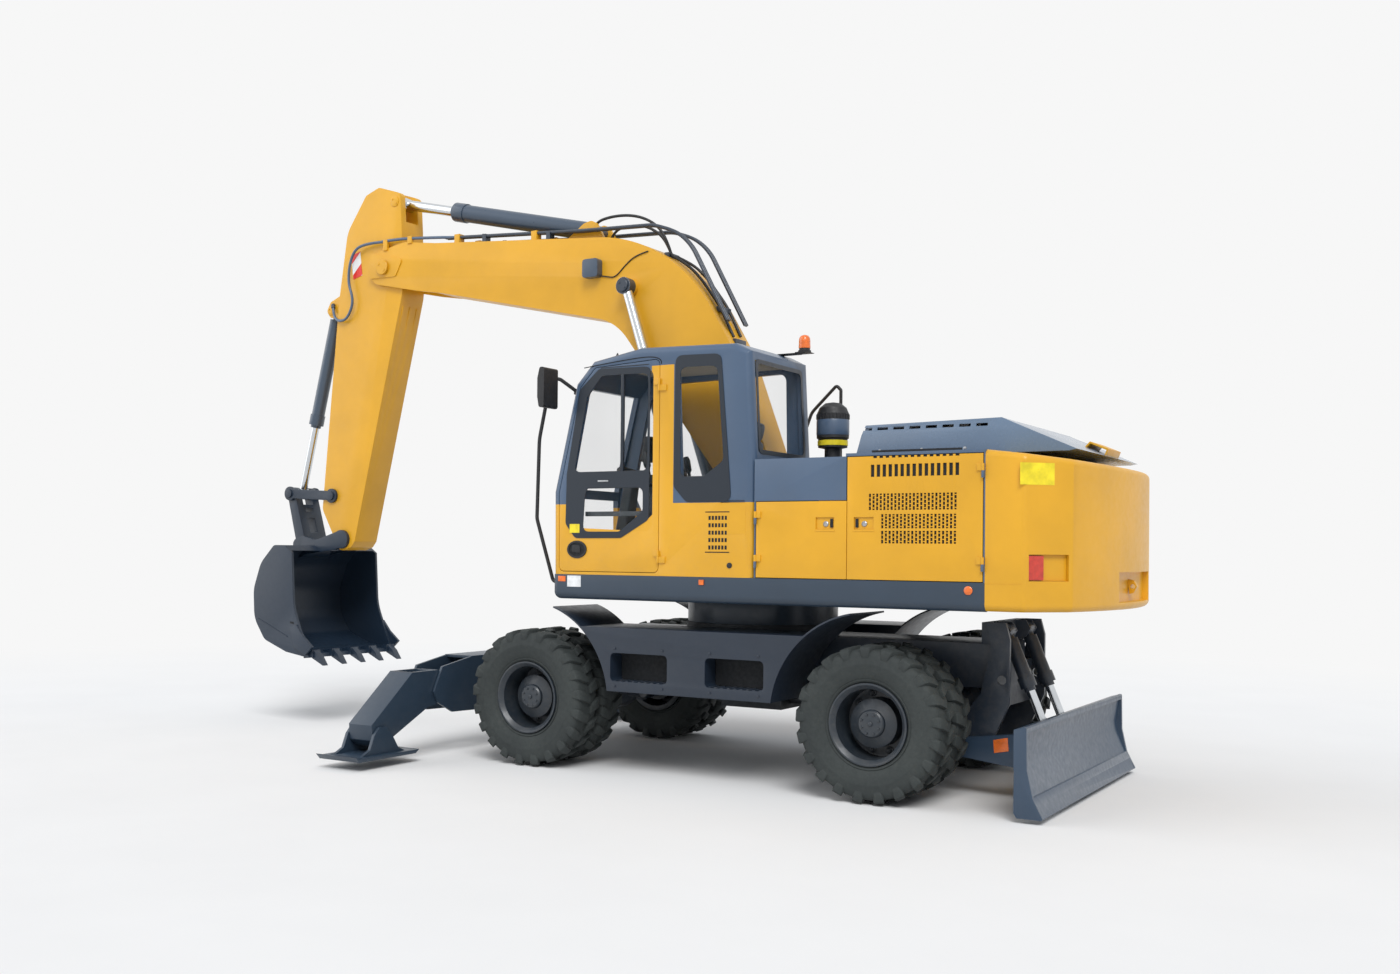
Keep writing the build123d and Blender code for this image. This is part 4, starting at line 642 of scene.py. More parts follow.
def make_wheels():
    tyre_data, fitting_data = tyre_mesh(), rim_details()
    for name in ("front_left", "front_right", "rear_left", "rear_right"):
        low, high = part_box(f"tyres_{name}")
        side = 1 if "left" in name else -1
        middle = Vector(((low[0] + high[0]) / 2, (low[1] + high[1]) / 2, AXLE_Z))
        turn = Matrix(((1, 0, 0), (0, 0, side), (0, -side, 0))).to_4x4()
        for label, data, material in (("tyre", tyre_data, PAINT["tyre_rubber"]),
                                      ("studs", fitting_data, PAINT["rim_paint"])):
            data = data.copy()
            data.transform(Matrix.Translation(middle) @ turn)
            piece = add_piece(f"{label}_{name}", f"wheel_{name}", material, data)
            if label == "tyre":
                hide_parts(f"tyres_{name}")
        soften(f"rims_{name}", 0.003)


make_wheels()

# ---------------------------------------------------------------- cab
SIDE = 1.25              # outer face of the machine's left side
MASK_T = 0.004
CLOTH_CAP, CLOTH_FRAMES, CLOTH_PRESSURE = 0.010, 14, 4.0
PAD_ROUNDING = 0.06      # how far a pad's corners are drawn in, as a share of its size
WHEEL_R = 0.19
REAR_FOOT, REAR_LEAN = 2.302, 0.040 / 0.758        # where the rear screen starts to lean, and its slope


def window_mask(name, body, radius, outline, *holes):
    """A thin dark plate with rounded openings on the machine's left face."""
    loops = [rounded(loop, radius) for loop in (outline, *holes)]
    return Shape().plate(loops[0], loops[1:], "Y", SIDE + 0.0004, SIDE + MASK_T).piece(name, body, MASK)


def make_cab():
    door_mask = [(0.735, 3.006), (0.286, 2.998), (0.290, 1.888), (0.532, 1.753), (0.938, 1.751),
                 (1.026, 1.860), (1.018, 2.230), (0.905, 2.860)]
    upper = [(0.708, 2.955), (0.304, 2.950), (0.308, 2.242), (0.951, 2.245), (0.840, 2.800)]
    lower = [(0.832, 2.126), (0.342, 2.120), (0.342, 1.947), (0.547, 1.800), (0.868, 1.800), (0.852, 2.060)]
    window_mask("door_mask", "cab_door", 0.05, door_mask, upper, lower)
    corner = Shape().prism([(0.255, 1.790), (0.60, 1.790), (0.545, 1.7525), (0.288, 1.900), (0.255, 1.93)],
                           "Y", SIDE - 0.004, SIDE - 0.0002)
    corner.piece("door_corner_skin", "cab_door", CAB_PAINT)
    blocks("door_window_bars", "cab_door", MASK, 0.002,
           (0.515, SIDE - 0.016, 2.240), (0.540, SIDE + 0.003, 2.962),
           (0.300, SIDE - 0.015, 2.120), (0.960, SIDE - 0.002, 2.246))
    blocks("door_inner_trim", "cab_door", TRIM_GREY, 0.004,
           (0.330, SIDE - 0.055, 1.915), (0.870, SIDE - 0.030, 1.950),
           (0.300, SIDE - 0.070, 2.150), (0.900, SIDE - 0.028, 2.215))
    blocks("door_catch", "cab_door", BOLT, 0.003, (0.640, SIDE + 0.001, 2.168), (0.735, SIDE + 0.009, 2.180))
    label = Shape().box((0.897, SIDE + MASK_T, 1.791), (0.987, SIDE + MASK_T + 0.0012, 1.857))
    label.piece("door_blank_label", "cab_door", LABEL, 0.0005, 1)
    oval, inside = ([(0.920 + a * cos(t), 1.667 + b * sin(t)) for t in full_turn(40)]
                    for a, b in ((0.088, 0.066), (0.072, 0.051)))
    ring = Shape().plate(oval, (inside,), "Y", SIDE - 0.001, SIDE + 0.007)
    ring.piece("door_handle_rim", "cab_door", BLACK, 0.002)
    # The handle's recess: black moulding, made darker than the rim as painted shade.
    cup = Shape().prism(inside, "Y", SIDE + 0.0004, SIDE + 0.0015)
    cup.piece("door_handle_cup", "cab_door", PAINTED_SHADE_AND_JOINTS)
    grip = Shape().prism(rounded([(0.885, 1.640), (0.965, 1.648), (0.960, 1.702), (0.892, 1.696)], 0.012),
                         "Y", SIDE + 0.001, SIDE + 0.008)
    grip.piece("door_handle_grip", "cab_door", BLACK, 0.003)

    rear_mask = [(0.076, 3.062), (-0.296, 3.052), (-0.386, 2.009), (-0.023, 2.009), (0.084, 2.124)]
    hole = [(0.036, 2.974), (-0.268, 2.968), (-0.322, 2.300), (-0.160, 2.188), (0.026, 2.190)]
    window_mask("side_window_mask", "upper", 0.06, rear_mask, hole)
    blocks("side_window_lining", "upper", TRIM_GREY, 0.002,
           (-0.395, SIDE - 0.030, 2.035), (0.060, SIDE - 0.010, 2.195))

    # the joint in the roof above the door, and the rubber round the rear screen
    roof_line = ((0.869, 3.022), (0.60, 3.052), (0.184, 3.078), (0.196, 3.010))
    line("roof_joint", "upper", PAINTED_SHADE_AND_JOINTS, [(x, SIDE + 0.0005, z) for x, z in roof_line], 0.0035)
    blocks("door_gutter", "upper", BLACK, 0.001, (0.30, SIDE - 0.006, 3.010), (0.72, SIDE + 0.0025, 3.016))
    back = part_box("cab_frame")[0][0] - SLEW
    outline = rounded([(0.425, 2.345), (1.175, 2.345), (1.175, 3.010), (0.425, 3.010)], 0.05)
    opening = rounded([(0.455, 2.375), (1.145, 2.375), (1.145, 2.980), (0.455, 2.980)], 0.04)
    seal = Shape().plate(outline, (opening,), "X", back - 0.0005, back + 0.004)
    mesh = finish_mesh(seal.work, "rear_screen_seal")
    for vertex in mesh.vertices:
        vertex.co.x += max(0.0, vertex.co.z - REAR_FOOT) * REAR_LEAN - 0.004
    add_piece("rear_screen_seal", "upper", MASK, mesh)

    # vents of the lower rear panel, its frame line, lock and antenna
    blocks("cab_panel_lines", "upper", PAINTED_SHADE_AND_JOINTS, 0.0,
           (-0.372, SIDE, 1.652), (-0.178, SIDE + 0.0012, 1.659),
           (-0.372, SIDE, 1.935), (-0.178, SIDE + 0.0012, 1.942))
    blocks("cab_panel_skin", "upper", YELLOW, 0.0,
           (-0.498, SIDE + 0.0003, 1.783), (-0.292, SIDE + 0.0008, 2.001))
    # The vents are near-black boxes: painted shade in their openings.
    louvre = Shape()
    for row in range(5):
        z = 1.675 + 0.052 * row
        for column in range(6):
            x = -0.352 + 0.026 * column
            louvre.box((x, SIDE, z), (x + 0.017, SIDE + 0.0014, z + 0.028))
    louvre.piece("cab_panel_louvres", "upper", PAINTED_SHADE_AND_JOINTS, 0.0005, 1)
    lock = Shape().turned([(0.0, 0.0), (0.020, 0.0), (0.020, 0.005), (0.012, 0.007), (0.0, 0.007)],
                          (-0.375, SIDE, 1.564), (0, 1, 0), 20)
    lock.piece("cab_panel_lock", "upper", BLACK)
    antenna = Shape().turned([(0.0, 0), (0.016, 0), (0.014, 0.02), (0.004, 0.045), (0.0, 0.047)],
                             (0.66, 1.12, 3.090), (0, 0, 1), 14)
    antenna.piece("antenna_foot", "upper", BLACK)

    # inside: head lining, monitor, wheel, levers
    blocks("head_lining", "upper", HEAD_LINING, 0.004, (-0.40, 0.405, 3.030), (0.74, 1.195, 3.044))
    blocks("rear_trim", "upper", TRIM_GREY, 0.004, (-0.480, 0.405, 1.60), (-0.462, 1.195, 2.33))
    centre, axis = Vector((0.640, 0.80, 2.215)), Vector((-0.42, 0, 0.91)).normalized()
    side = axis.orthogonal().normalized()
    other = axis.cross(side)
    rim = [tuple(centre + WHEEL_R * (cos(t) * side + sin(t) * other)) for t in full_turn(24) + [2 * pi]]
    line("steering_wheel_rim", "upper", BLACK, rim, 0.013)
    spokes = Shape()
    for turn in (0.0, 2.1, 4.2):
        tip = centre + (WHEEL_R - 0.005) * (cos(turn) * side + sin(turn) * other)
        spokes.turned([(0.0, 0), (0.011, 0), (0.009, (tip - centre).length), (0, (tip - centre).length)],
                      tuple(centre), tuple(tip - centre), 10)
    spokes.turned([(0.0, -0.03), (0.045, -0.03), (0.048, 0.0), (0.03, 0.018), (0.0, 0.02)], tuple(centre),
                  tuple(axis), 20)
    spokes.piece("steering_wheel_hub", "upper", BLACK)
    levers = Shape()
    for y in (0.50, 1.10):
        levers.turned([(0.0, 0), (0.030, 0), (0.024, 0.05), (0.012, 0.06), (0.012, 0.14), (0.026, 0.16),
                       (0.030, 0.24), (0.020, 0.27), (0.0, 0.275)], (0.36, y, 2.128), (0.25, 0, 1), 16)
    levers.piece("control_levers", "upper", BLACK)
    screen = Shape().prism(rounded([(0.76, 2.36), (0.80, 2.36), (0.76, 2.56), (0.72, 2.56)], 0.01),
                           "Y", 0.42, 0.56)
    screen.prism([(0.775, 2.06), (0.795, 2.06), (0.775, 2.38), (0.755, 2.38)], "Y", 0.48, 0.50)
    screen.piece("monitor", "upper", BLACK, 0.003)
    soften("cab_controls", 0.020, TRIM_GREY, 3)


def pad(name, low, high, lean, crown):
    """A padded cushion: a rounded block swollen by cloth simulation, leaning about its lower rear edge."""
    size = Vector(high) - Vector(low)
    work = bmesh.new()
    bmesh.ops.create_cube(work, size=1.0)
    bmesh.ops.subdivide_edges(work, edges=work.edges, cuts=11, use_grid_fill=True)
    for vertex in work.verts:
        unit = Vector(vertex.co) * 2
        x, y, z = (value ** 4 for value in unit)
        round_off = 1 - PAD_ROUNDING * (x * y + y * z + x * z)
        swell = 1 + crown * (1 - unit.x ** 2) * (1 - unit.y ** 2) * (1 - unit.z ** 2)
        vertex.co = Vector(unit[i] / 2 * size[i] for i in range(3)) * round_off * swell
    mesh = bpy.data.meshes.new(name)
    work.to_mesh(mesh)
    work.free()
    middle = (Vector(low) + Vector(high)) / 2
    pivot = Vector((low[0], middle.y, low[2]))
    turn = Matrix.Translation(at(*pivot)) @ Matrix.Rotation(lean, 4, "Y") @ Matrix.Translation(-at(*pivot))
    mesh.transform(turn @ Matrix.Translation(at(*middle)))
    piece = bpy.data.objects.new(name, mesh)
    scene.collection.objects.link(piece)
    swell_by_cloth(piece)
    smooth = piece.modifiers.new("smooth", "SUBSURF")
    smooth.levels = smooth.render_levels = 1
    bake(piece)
    data = piece.data
    bpy.data.objects.remove(piece)
    for face in data.polygons:
        face.use_smooth = True
    result = add_piece(name, "upper", PAINT["seat_fabric"], data)
    return result


def bake(piece):
    """Applies what modifies a piece to its mesh."""
    graph = bpy.context.evaluated_depsgraph_get()
    data = bpy.data.meshes.new_from_object(piece.evaluated_get(graph))
    piece.modifiers.clear()
    piece.data = data


def swell_by_cloth(piece):
    """Lets a pad swell under pressure for a few frames, no point moving farther than CLOTH_CAP."""
    start = [Vector(v.co) for v in piece.data.vertices]
    cloth = piece.modifiers.new("cloth", "CLOTH")
    cloth.settings.use_pressure = True
    cloth.settings.uniform_pressure_force = CLOTH_PRESSURE
    cloth.settings.effector_weights.gravity = 0.0
    cloth.settings.quality = 6
    for number in range(1, CLOTH_FRAMES + 1):
        scene.frame_set(number)
    bake(piece)
    scene.frame_set(1)
    for vertex, place in zip(piece.data.vertices, start):
        shift = vertex.co - place
        if shift.length > CLOTH_CAP:
            vertex.co = place + shift * (CLOTH_CAP / shift.length)


def make_seat():
    low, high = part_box("cab_seat")
    y_low, y_high = low[1] + 0.012, high[1] - 0.012
    middle = (y_low + y_high) / 2
    pad("seat_cushion", (-0.155, y_low, 1.912), (0.330, y_high, 2.000), 0.0, 0.10)
    back = pad("seat_back", (-0.180, y_low + 0.005, 1.990), (-0.085, y_high - 0.005, 2.500),
               radians(-17), 0.10)
    pad("seat_headrest", (-0.330, middle - 0.130, 2.470), (-0.265, middle + 0.130, 2.600),
        radians(-14), 0.12)
    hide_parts("cab_seat")


make_cab()
make_seat()

# ---------------------------------------------------------------- engine house, deck and counterweight
# door, its side, x of the recess's ends, of its slot and of its lock
LATCHES = (("left_front_door", 1, -1.163, -1.029, -1.153, -1.101),
           ("left_rear_door", 1, -1.444, -1.305, -1.335, -1.377),
           ("right_rear_door", -1, -2.120, -1.981, -2.110, -2.058))
LATCH_LOW, LATCH_HIGH = 1.816, 1.896
# low z, high z, near x, far x, slots across, rows of webs: the openings of the rear doors
SCREENS = ((1.942, 2.050, -1.405, -2.010, 24, 4), (1.822, 1.915, -1.492, -2.008, 20, 4),
           (1.724, 1.806, -1.492, -2.008, 20, 3))
LAMP_MIDDLE = Vector((-2.555, 1.125, 1.577))
LAMP_TURN = radians(47.5)
BEACON_AT, BEACON_TALL = (-0.590, 0.520), 0.130
BOWL_AT, BOWL_R = (-0.722, 0.300), 0.1195
WEB_SHARE = 0.32         # half of a web's length, as a share of the slots' pitch


def make_latches():
    for door, side, x_low, x_high, slot_x, lock_x in LATCHES:
        face = side * SIDE
        blocks(f"{door}_latch_well", door, YELLOW, 0.0,
               (x_low + 0.001, face - side * 0.0138, LATCH_LOW + 0.001),
               (x_high - 0.001, face - side * 0.011, LATCH_HIGH - 0.001))
        # The latch's slot is a near-black block: painted shade in the opening.
        blocks(f"{door}_latch_slot", door, PAINTED_SHADE_AND_JOINTS, 0.002,
               (slot_x, face - side * 0.012, LATCH_LOW + 0.012),
               (slot_x + 0.020, face - side * 0.004, LATCH_HIGH - 0.010))
        barrel = [(0, 0), (0.019, 0), (0.019, 0.006), (0.014, 0.010), (0.014, 0.008), (0, 0.007)]
        lock = Shape().turned(barrel, (lock_x, face - side * 0.011, 1.852), (0, side, 0), 22)
        lock.piece(f"{door}_lock", door, BOLT)
        blocks(f"{door}_latch_sill", door, YELLOW, 0.001, (x_low - 0.006, face, LATCH_LOW - 0.014),
               (x_high + 0.006, face + side * 0.003, LATCH_LOW - 0.006))


def make_screens():
    """Staggered webs that turn the lower slots into screens, and a near-black sheet behind all slots: painted
    shade of the engine bay.
    """
    for door, side in (("left_rear_door", 1), ("right_rear_door", -1)):
        webs = Shape()
        outer, inner = side * (SIDE - 0.001), side * (SIDE - 0.006)
        for z_low, z_high, near, far, count, rows in SCREENS:
            pitch = (near - far) / count
            rise = (z_high - z_low) / rows
            for n in range(count):
                middle = near - pitch * (n + 0.5)
                for row in range(rows + 1):
                    z = z_low + rise * (row + (0.5 if n % 2 else 0.0))
                    if z_low < z < z_high:
                        half = pitch * WEB_SHARE
                        webs.box((middle - half, outer, z - 0.003), (middle + half, inner, z + 0.003))
        webs.piece(f"{door}_screen_webs", door, YELLOW)
        # Near-black sheet behind the slots: painted shade of the engine bay.
        low, high = side * (SIDE - 0.014), side * (SIDE - 0.007)
        dark = Shape()
        for z_low, z_high, near, far in ((2.283, 2.331, -1.430, -2.030), (2.160, 2.240, -1.414, -2.028),
                                         *(screen[:4] for screen in SCREENS)):
            dark.box((far - 0.004, low, z_low - 0.004), (near + 0.004, high, z_high + 0.004))
        dark.piece(f"{door}_screen_back", door, PAINTED_SHADE_AND_JOINTS)


def on_corner(along, out, up):
    """A point on the counterweight's slanted left corner: along it, out of it, and above its middle."""
    return LAMP_MIDDLE + Vector((-cos(LAMP_TURN) * along - sin(LAMP_TURN) * out,
                                 -sin(LAMP_TURN) * along + cos(LAMP_TURN) * out, up))


def corner_piece(name, material, mirror, along, out, up, bevel=0.0):
    """A block on the slanted corner, or on its mirror image; each range is a pair."""
    shape = Shape()
    rings = []
    for u in up:
        points = [on_corner(a, o, u) for a, o in zip(along[:1] * 2 + along[1:] * 2, out + out[::-1])]
        rings.append([shape.work.verts.new(at(p.x, mirror * p.y, p.z)) for p in points])
        shape.work.faces.new(rings[-1])
    shape.walls(*rings)
    return shape.piece(name, "upper", material, bevel)


def make_lamps():
    for name, mirror in SIDES:
        corner_piece(f"tail_lamp_{name}", RED_LENS, mirror,
                     (-0.135, -0.030), (-0.0275, -0.010), (-0.076, 0.076), 0.004)
        corner_piece(f"tail_lamp_plate_{name}", YELLOW, mirror,
                     (-0.026, 0.136), (-0.0285, -0.0275), (-0.080, 0.080))
        corner_piece(f"blank_label_{name}", LABEL, mirror, (-0.205, 0.035), (0.0003, 0.0012), (0.515, 0.652))
    beacon_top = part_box("lamps")[1][2]
    base = beacon_top - BEACON_TALL
    foot = Shape().box((-0.640, 0.460, 3.1245), (-0.540, 0.580, 3.1290))
    foot.turned([(0.0, 0.0), (0.047, 0.0), (0.049, 0.012), (0.040, 0.020), (0.040, 0.032), (0, 0.032)],
                (*BEACON_AT, base), (0, 0, 1), 28)
    foot.box((-0.545, 0.470, 3.121), (-0.330, 0.570, 3.1250))
    beacon_foot = foot.piece("beacon_foot", "upper", BLACK, 0.001)
    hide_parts("lamps")
    dome = Shape().turned([(0.0, 0.030), (0.044, 0.030), (0.044, 0.040), (0.042, 0.070), (0.043, 0.078),
                           (0.040, 0.105), (0.030, 0.121), (0.015, 0.128), (0.0, 0.1295)],
                          (*BEACON_AT, base), (0, 0, 1), 32)
    dome.piece("beacon_dome", "upper", AMBER)


def make_house():
    blocks("deck_reflector", "upper", AMBER, 0.001,
           (1.022, SIDE + 0.0003, 1.426), (1.090, SIDE + 0.003, 1.466))
    plate = Shape().box((0.883, SIDE + 0.0003, 1.387), (1.007, SIDE + 0.002, 1.471))
    plate.piece("blank_plate", "upper", PLATE_WHITE, 0.0005, 1)
    amber = Shape().box((-0.172, SIDE + 0.0003, 1.424), (-0.134, SIDE + 0.010, 1.460))
    amber.turned([(0.0, 0), (0.028, 0), (0.028, 0.006), (0.022, 0.009), (0, 0.010)],
                 (-2.086, SIDE + 0.0003, 1.429), (0, 1, 0), 28)
    amber.piece("side_markers", "upper", AMBER, 0.001)
    blocks("counterweight_crease", "upper", YELLOW, 0.0,
           (-2.43, SIDE - 0.0005, 1.4745), (-2.20, SIDE + 0.0015, 1.4795))
    # the bent deflector behind the hood
    deflector = Shape()
    side_view = [(-2.385, 2.330), (-2.500, 2.452), (-2.629, 2.396), (-2.601, 2.327), (-2.590, 2.331),
                 (-2.613, 2.388), (-2.503, 2.436), (-2.399, 2.326)]
    deflector.prism(side_view, "Y", -0.42, -0.06)
    deflector.piece("exhaust_deflector", "upper", YELLOW, 0.003)
    pipe = Shape().turned([(0.0, 0.0), (0.055, 0.0), (0.055, 0.10), (0.049, 0.10), (0.049, 0.02), (0, 0.02)],
                          (-2.43, -0.24, 2.26), (-0.25, 0, 1), 28)
    pipe.piece("exhaust_outlet", "upper", PAINT["cast_grey"])
    # air cleaner: bowl, blank sticker, clamp
    bowl = Shape().turned([(BOWL_R, 2.530), (BOWL_R + 0.002, 2.535), (BOWL_R + 0.002, 2.640),
                           (BOWL_R, 2.645)], (*BOWL_AT, 0), (0, 0, 1), 48)
    bowl.piece("precleaner_bowl", "upper", SLATE, 0.001)
    clamp = Shape().turned([(0.109, 2.452), (0.112, 2.454), (0.112, 2.490), (0.109, 2.492)],
                           (*BOWL_AT, 0), (0, 0, 1), 48)
    clamp.piece("precleaner_band", "upper", LABEL)
    ribs = Shape()
    for turn in full_turn(28):
        ribs.turned([(0, 2.648), (0.0045, 2.650), (0.0045, 2.685), (0, 2.687)],
                    (BOWL_AT[0] + BOWL_R * cos(turn), BOWL_AT[1] + BOWL_R * sin(turn), 0), (0, 0, 1), 6)
    ribs.piece("precleaner_vanes", "upper", BLACK)
    bolts = Shape()
    for x in (-1.32, -1.62, -1.92):
        bolts.bolt((x, 0.85, 2.360), (0, 1, 0), 0.010, 0.007)
    bolts.piece("hood_bolts", "engine_hood", BOLT)
    caps = Shape().turned([(0, 0), (0.070, 0), (0.072, 0.030), (0.060, 0.045), (0, 0.048)],
                          (-0.10, -0.80, 2.258), (0, 0, 1), 28)
    caps.turned([(0, 0), (0.055, 0), (0.055, 0.028), (0.045, 0.036), (0, 0.036)], (-0.95, -0.85, 2.298),
                (0, 0, 1), 24)
    caps.piece("tank_caps", "upper", BLACK)
    blocks("tank_steps", "upper", DARK, 0.003, (1.030, -1.15, 1.62), (1.175, -0.75, 1.632),
           (1.012, -1.15, 1.80), (1.157, -0.75, 1.812), (0.950, -1.15, 1.96), (1.095, -0.75, 1.972))


make_latches()
make_screens()
make_lamps()
make_house()

# ---------------------------------------------------------------- boom, stick and bucket
STICK_HALF, BUCKET_HALF = 0.150, 0.575             # half widths
LIFT_EYE, LIFT_Y = (1.144, 3.826), 0.267           # where the lift cylinders' rods meet the boom
COLLAR_R, COLLAR_HALF = 0.0695, 0.0465             # the collars of their rods
LAMP_LOW, LAMP_HIGH = 0.112, 0.268                 # height of the work lamps over the lift cylinders' eyes
STICK_HOSE_R = 0.013
TIP_PIPE_Y = 0.181
BOOM_TIP, STICK_EYE, CURL_EYE = (3.881, 4.274), (3.786, 4.890), (4.640, 3.950)


def make_boom():
    """Pipe brackets, work lamps with their wires, and the collars of the lift cylinders."""
    brackets = Shape()
    for x, z in ((3.009, 4.400), (2.150, 4.330)):
        for y in (0.147, -0.147):
            brackets.box((x - 0.030, y - 0.036, z), (x + 0.030, y + 0.036, z + 0.088))
    brackets.piece("boom_pipe_brackets", "boom", YELLOW, 0.004)
    x, z = LIFT_EYE
    for name, side in SIDES:
        low, high = side * 0.186, side * 0.2612
        outline = rounded([(x + 0.287, z + LAMP_LOW), (x + 0.443, z + LAMP_LOW), (x + 0.443, z + LAMP_HIGH),
                           (x + 0.287, z + LAMP_HIGH)], 0.03)
        Shape().prism(outline, "Y", low, high).piece(f"boom_lamp_{name}", "boom", CYLINDER, 0.006)
        low, high = side * 0.196, side * 0.251
        blocks(f"boom_lamp_lens_{name}", "boom", WHITE_LENS, 0.002,
               (x + 0.4425, low, z + 0.130), (x + 0.4470, high, z + 0.250))
        wire = ((1.445, 3.955), (1.381, 3.941), (1.298, 3.925), (1.200, 4.020), (1.100, 4.090),
                (0.980, 4.110))
        line(f"boom_lamp_wire_{name}", "boom", HOSE, [(a, side * 0.191, b) for a, b in wire], 0.005)
        half = [(0, -COLLAR_HALF), (COLLAR_R - 0.0035, -COLLAR_HALF), (COLLAR_R, 0.0035 - COLLAR_HALF)]
        collar = Shape().turned(half + [(radius, -place) for radius, place in reversed(half)],
                                (x, side * LIFT_Y, z), (0, 1, 0), 40)
        pin_cap(collar, LIFT_EYE, side * (LIFT_Y + COLLAR_HALF), 0.052, 0.014)
        collar.piece(f"boom_rod_collar_{name}", "boom_rods", DARK)


def pin_cap(shape, place, y, radius, long=0.007):
    """A pin's flange with two bolts, on one side."""
    side = 1 if y > 0 else -1
    shape.turned([(0, 0), (radius, 0), (radius, long * 0.7), (radius - 0.005, long), (0, long)],
                 (place[0], y, place[1]), (0, side, 0), 32)
    for turn in (0.7, 3.84):
        x, z = place[0] + radius * 0.62 * cos(turn), place[1] + radius * 0.62 * sin(turn)
        shape.bolt((x, y + side * long, z), (0, side, 0), radius * 0.15, 0.005)


def make_pins():
    cap = Shape()
    for side in (1, -1):
        pin_cap(cap, BOOM_TIP, side * 0.2110, 0.070, 0.012)
    cap.piece("boom_tip_pin_caps", "boom", YELLOW)
    caps = Shape()
    for place, half, radius in ((STICK_EYE, STICK_HALF, 0.050), (CURL_EYE, 0.0960, 0.042)):
        for side in (1, -1):
            pin_cap(caps, place, side * half, radius)
    caps.piece("stick_pin_caps", "stick", YELLOW)


def make_bucket():
    weld, slots = Shape(), Shape()
    for side in (1, -1):
        low, high = side * BUCKET_HALF, side * (BUCKET_HALF + 0.004)
        weld.prism([(5.072, 0.985), (4.685, 0.831), (4.687, 0.823), (5.075, 0.976)], "Y", low, high)
        # The slots in the bucket's sides are near-black plates: painted shade in the openings.
        low, high = side * BUCKET_HALF, side * (BUCKET_HALF + 0.0015)
        for x, z in ((4.624, 0.959), (4.603, 0.879), (4.572, 0.800)):
            slot = rounded([(x - 0.026, z - 0.012), (x + 0.026, z - 0.006), (x + 0.026, z + 0.012),
                            (x - 0.026, z + 0.006)], 0.008)
            slots.prism(slot, "Y", low, high)
    weld.piece("bucket_welds", "bucket", BUCKET_DARK)
    slots.piece("bucket_slots", "bucket", PAINTED_SHADE_AND_JOINTS)


def make_hoses_and_board():
    """Hoses clipped over the boom's knee, and the striped board on the stick."""
    routes = (((1.640, 0.070, 4.322), (1.600, 0.070, 4.440), (1.420, 0.065, 4.478), (1.200, 0.060, 4.462),
               (1.020, 0.055, 4.385), (0.900, 0.050, 4.260), (0.840, 0.050, 4.090)),
              ((1.520, -0.070, 4.305), (1.480, -0.070, 4.392), (1.340, -0.065, 4.412), (1.170, -0.060, 4.395),
               (1.020, -0.055, 4.310), (0.940, -0.050, 4.210), (0.900, -0.050, 4.120)),
              ((0.840, 0.050, 4.085), (0.700, 0.060, 4.010), (0.560, 0.070, 3.880), (0.455, 0.070, 3.740),
               (0.370, 0.070, 3.620), (0.300, 0.070, 3.480), (0.245, 0.070, 3.370)),
              ((0.900, -0.050, 4.118), (0.720, -0.060, 4.035), (0.575, -0.070, 3.900), (0.465, -0.070, 3.755),
               (0.380, -0.070, 3.640), (0.310, -0.070, 3.500), (0.255, -0.070, 3.390)))
    for index, route in enumerate(routes):
        line(f"knee_hose_{index + 1}", "boom", HOSE, route, 0.012)
    clips = Shape()
    for x, z in ((1.640, 4.300), (1.520, 4.288), (0.865, 4.085), (0.375, 3.600), (0.235, 3.330)):
        clips.box((x - 0.020, -0.090, z - 0.020), (x + 0.020, 0.090, z + 0.024))
    clips.piece("hose_clips", "boom", DARK, 0.004)
    for name, side in SIDES:
        low, high = side * (STICK_HALF + 0.0003), side * (STICK_HALF + 0.003)
        board = Shape().prism([(4.215, 4.470), (4.330, 4.440), (4.300, 4.210), (4.185, 4.240)],
                              "Y", low, high)
        board.piece(f"striped_board_{name}", "stick", STRIPES, 0.001, 1)


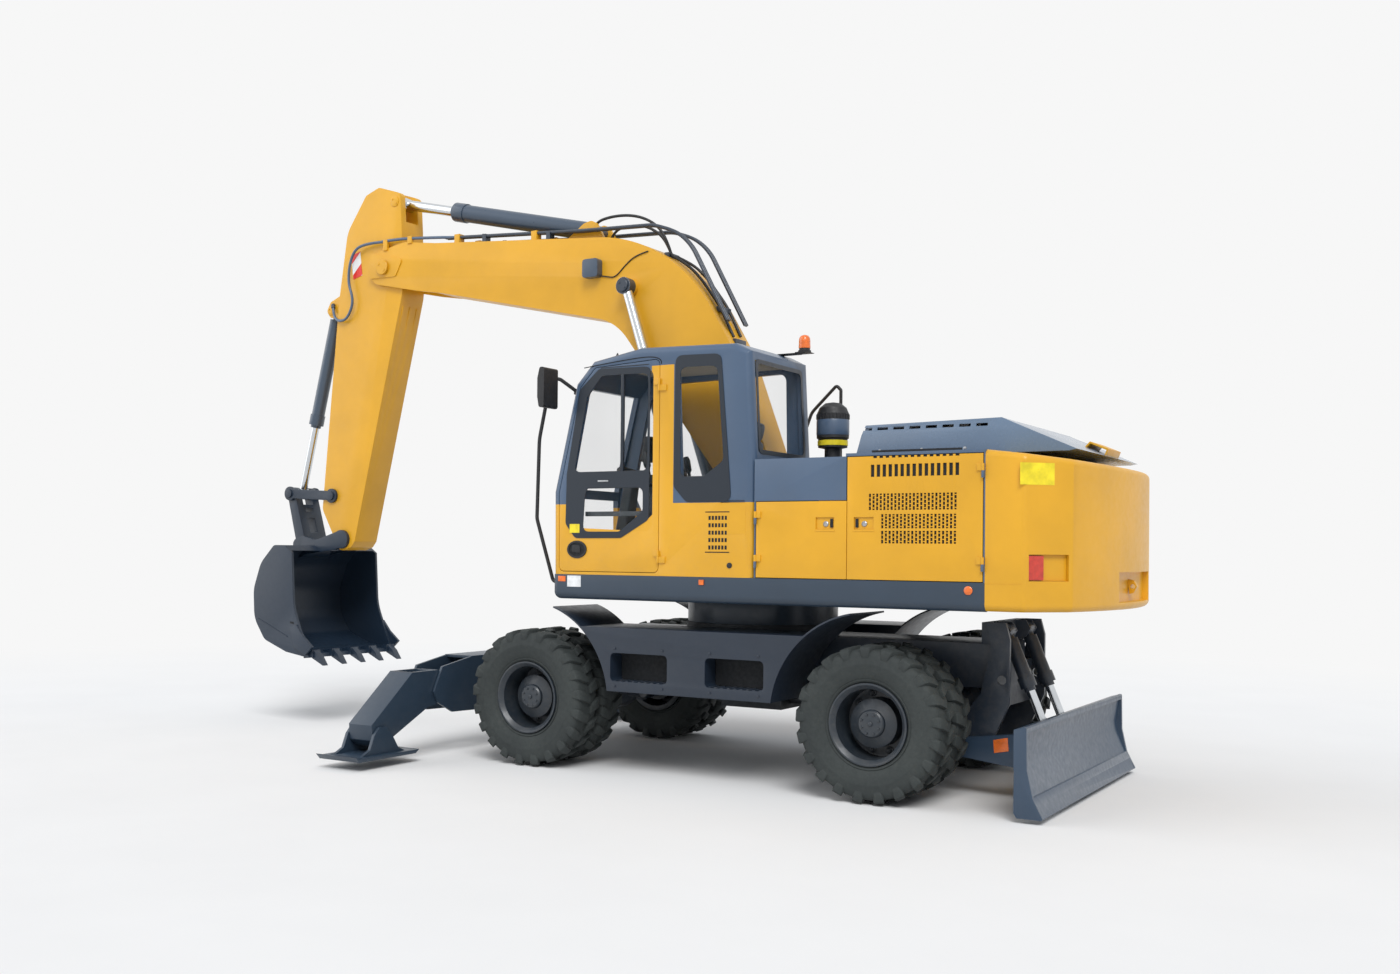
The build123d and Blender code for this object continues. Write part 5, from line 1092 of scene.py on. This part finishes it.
def make_stick_hose():
    """The free hose that loops from the boom's tip down to the bucket cylinder."""
    route = ((3.900, 0.178, 4.518), (4.137, 0.192, 4.528), (4.281, 0.196, 4.452), (4.334, 0.196, 4.194),
             (4.249, 0.194, 4.000), (4.332, 0.190, 3.835), (4.461, 0.175, 3.820), (4.575, 0.130, 3.890),
             (4.600, 0.112, 3.985))
    meshes = []
    for radius in (0.0, STICK_HOSE_R):
        carrier = bpy.data.objects.new("hose_route", route_curve("hose_route", route, radius))
        scene.collection.objects.link(carrier)
        graph = bpy.context.evaluated_depsgraph_get()
        meshes.append(bpy.data.meshes.new_from_object(carrier.evaluated_get(graph)))
        bpy.data.objects.remove(carrier)
    tube = meshes[1]
    for face in tube.polygons:
        face.use_smooth = True
    tube.materials.clear()
    tube.materials.append(SLATE)
    hose = bpy.data.objects.new("stick_hose", tube)
    scene.collection.objects.link(hose)
    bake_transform(hose)
    # the pipes that carry on to the hose from the boom's long ones, and the hose's fittings
    for name, side in SIDES:
        out = side * TIP_PIPE_Y
        run = ((3.020, side * 0.163, 4.4635), (3.120, side * 0.165, 4.473), (3.200, out, 4.480),
               (3.560, out, 4.512), (3.700, out, 4.5215), (3.905, out, 4.522))
        line(f"boom_tip_pipe_{name}", "boom", SLATE, run, 0.0135)
    saddles = Shape()
    for x, z in ((3.860, 4.440), (3.560, 4.475)):
        for side in (1, -1):
            low, high = side * 0.166, side * 0.197
            saddles.box((x - 0.026, low, z - 0.01), (x + 0.026, high, z + 0.090 - (3.86 - x) * 0.11))
    saddles.piece("boom_tip_saddles", "boom", YELLOW, 0.004)
    fitting = Shape().turned([(0, -0.02), (0.020, -0.02), (0.020, 0.012), (0.015, 0.02), (0, 0.02)],
                             (4.602, 0.110, 3.992), (0.2, -0.2, 1.0), 16)
    fitting.piece("bucket_cylinder_port", "stick", DARK)


make_boom()
make_hoses_and_board()
make_stick_hose()
make_pins()
make_bucket()

# ---------------------------------------------------------------- undercarriage
POCKETS = ((0.157, 0.646), (-0.621, -0.156))       # from x to x, each a step in the side box
POCKET_LOW, POCKET_HIGH = 0.695, 0.905


def make_side_boxes():
    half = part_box("side_boxes")[1][1]
    for name, side in SIDES:
        dark, treads, bolts = Shape(), Shape(), Shape()
        for x_low, x_high in POCKETS:
            # A near-black plate on the pocket's back wall: painted shade in the recess.
            low, high = side * (half - 0.158), side * (half - 0.153)
            dark.box((x_low + 0.004, low, POCKET_LOW + 0.004), (x_high - 0.004, high, POCKET_HIGH - 0.004))
            low, high = side * (half - 0.140), side * (half - 0.012)
            step = (x_high - x_low - 0.060) / 8
            for row in range(9):
                x = x_low + 0.030 + row * step
                treads.box((x - 0.010, low, POCKET_LOW - 0.001), (x + 0.010, high, POCKET_LOW + 0.006))
            for x in (x_low + 0.04, x_high - 0.04):
                bolts.bolt((x, side * half, 0.660), (0, side, 0), 0.009, 0.006)
                bolts.bolt((x, side * half, 0.938), (0, side, 0), 0.009, 0.006)
        dark.piece(f"step_pocket_backs_{name}", "undercarriage", PAINTED_SHADE_AND_JOINTS)
        treads.piece(f"step_treads_{name}", "undercarriage", DARK, 0.001, 1)
        bolts.piece(f"side_box_bolts_{name}", "undercarriage", LOW_SLATE)


def make_blade():
    """Reflectors on the blade's arms."""
    arm = 0.495
    marks = Shape()
    for side in (1, -1):
        low, high = side * (arm + 0.0003), side * (arm + 0.003)
        marks.prism([(-2.118, 0.330), (-2.018, 0.310), (-2.011, 0.398), (-2.111, 0.421)], "Y", low, high)
    marks.piece("blade_reflectors", "blade", AMBER, 0.001, 1)


make_side_boxes()
make_blade()
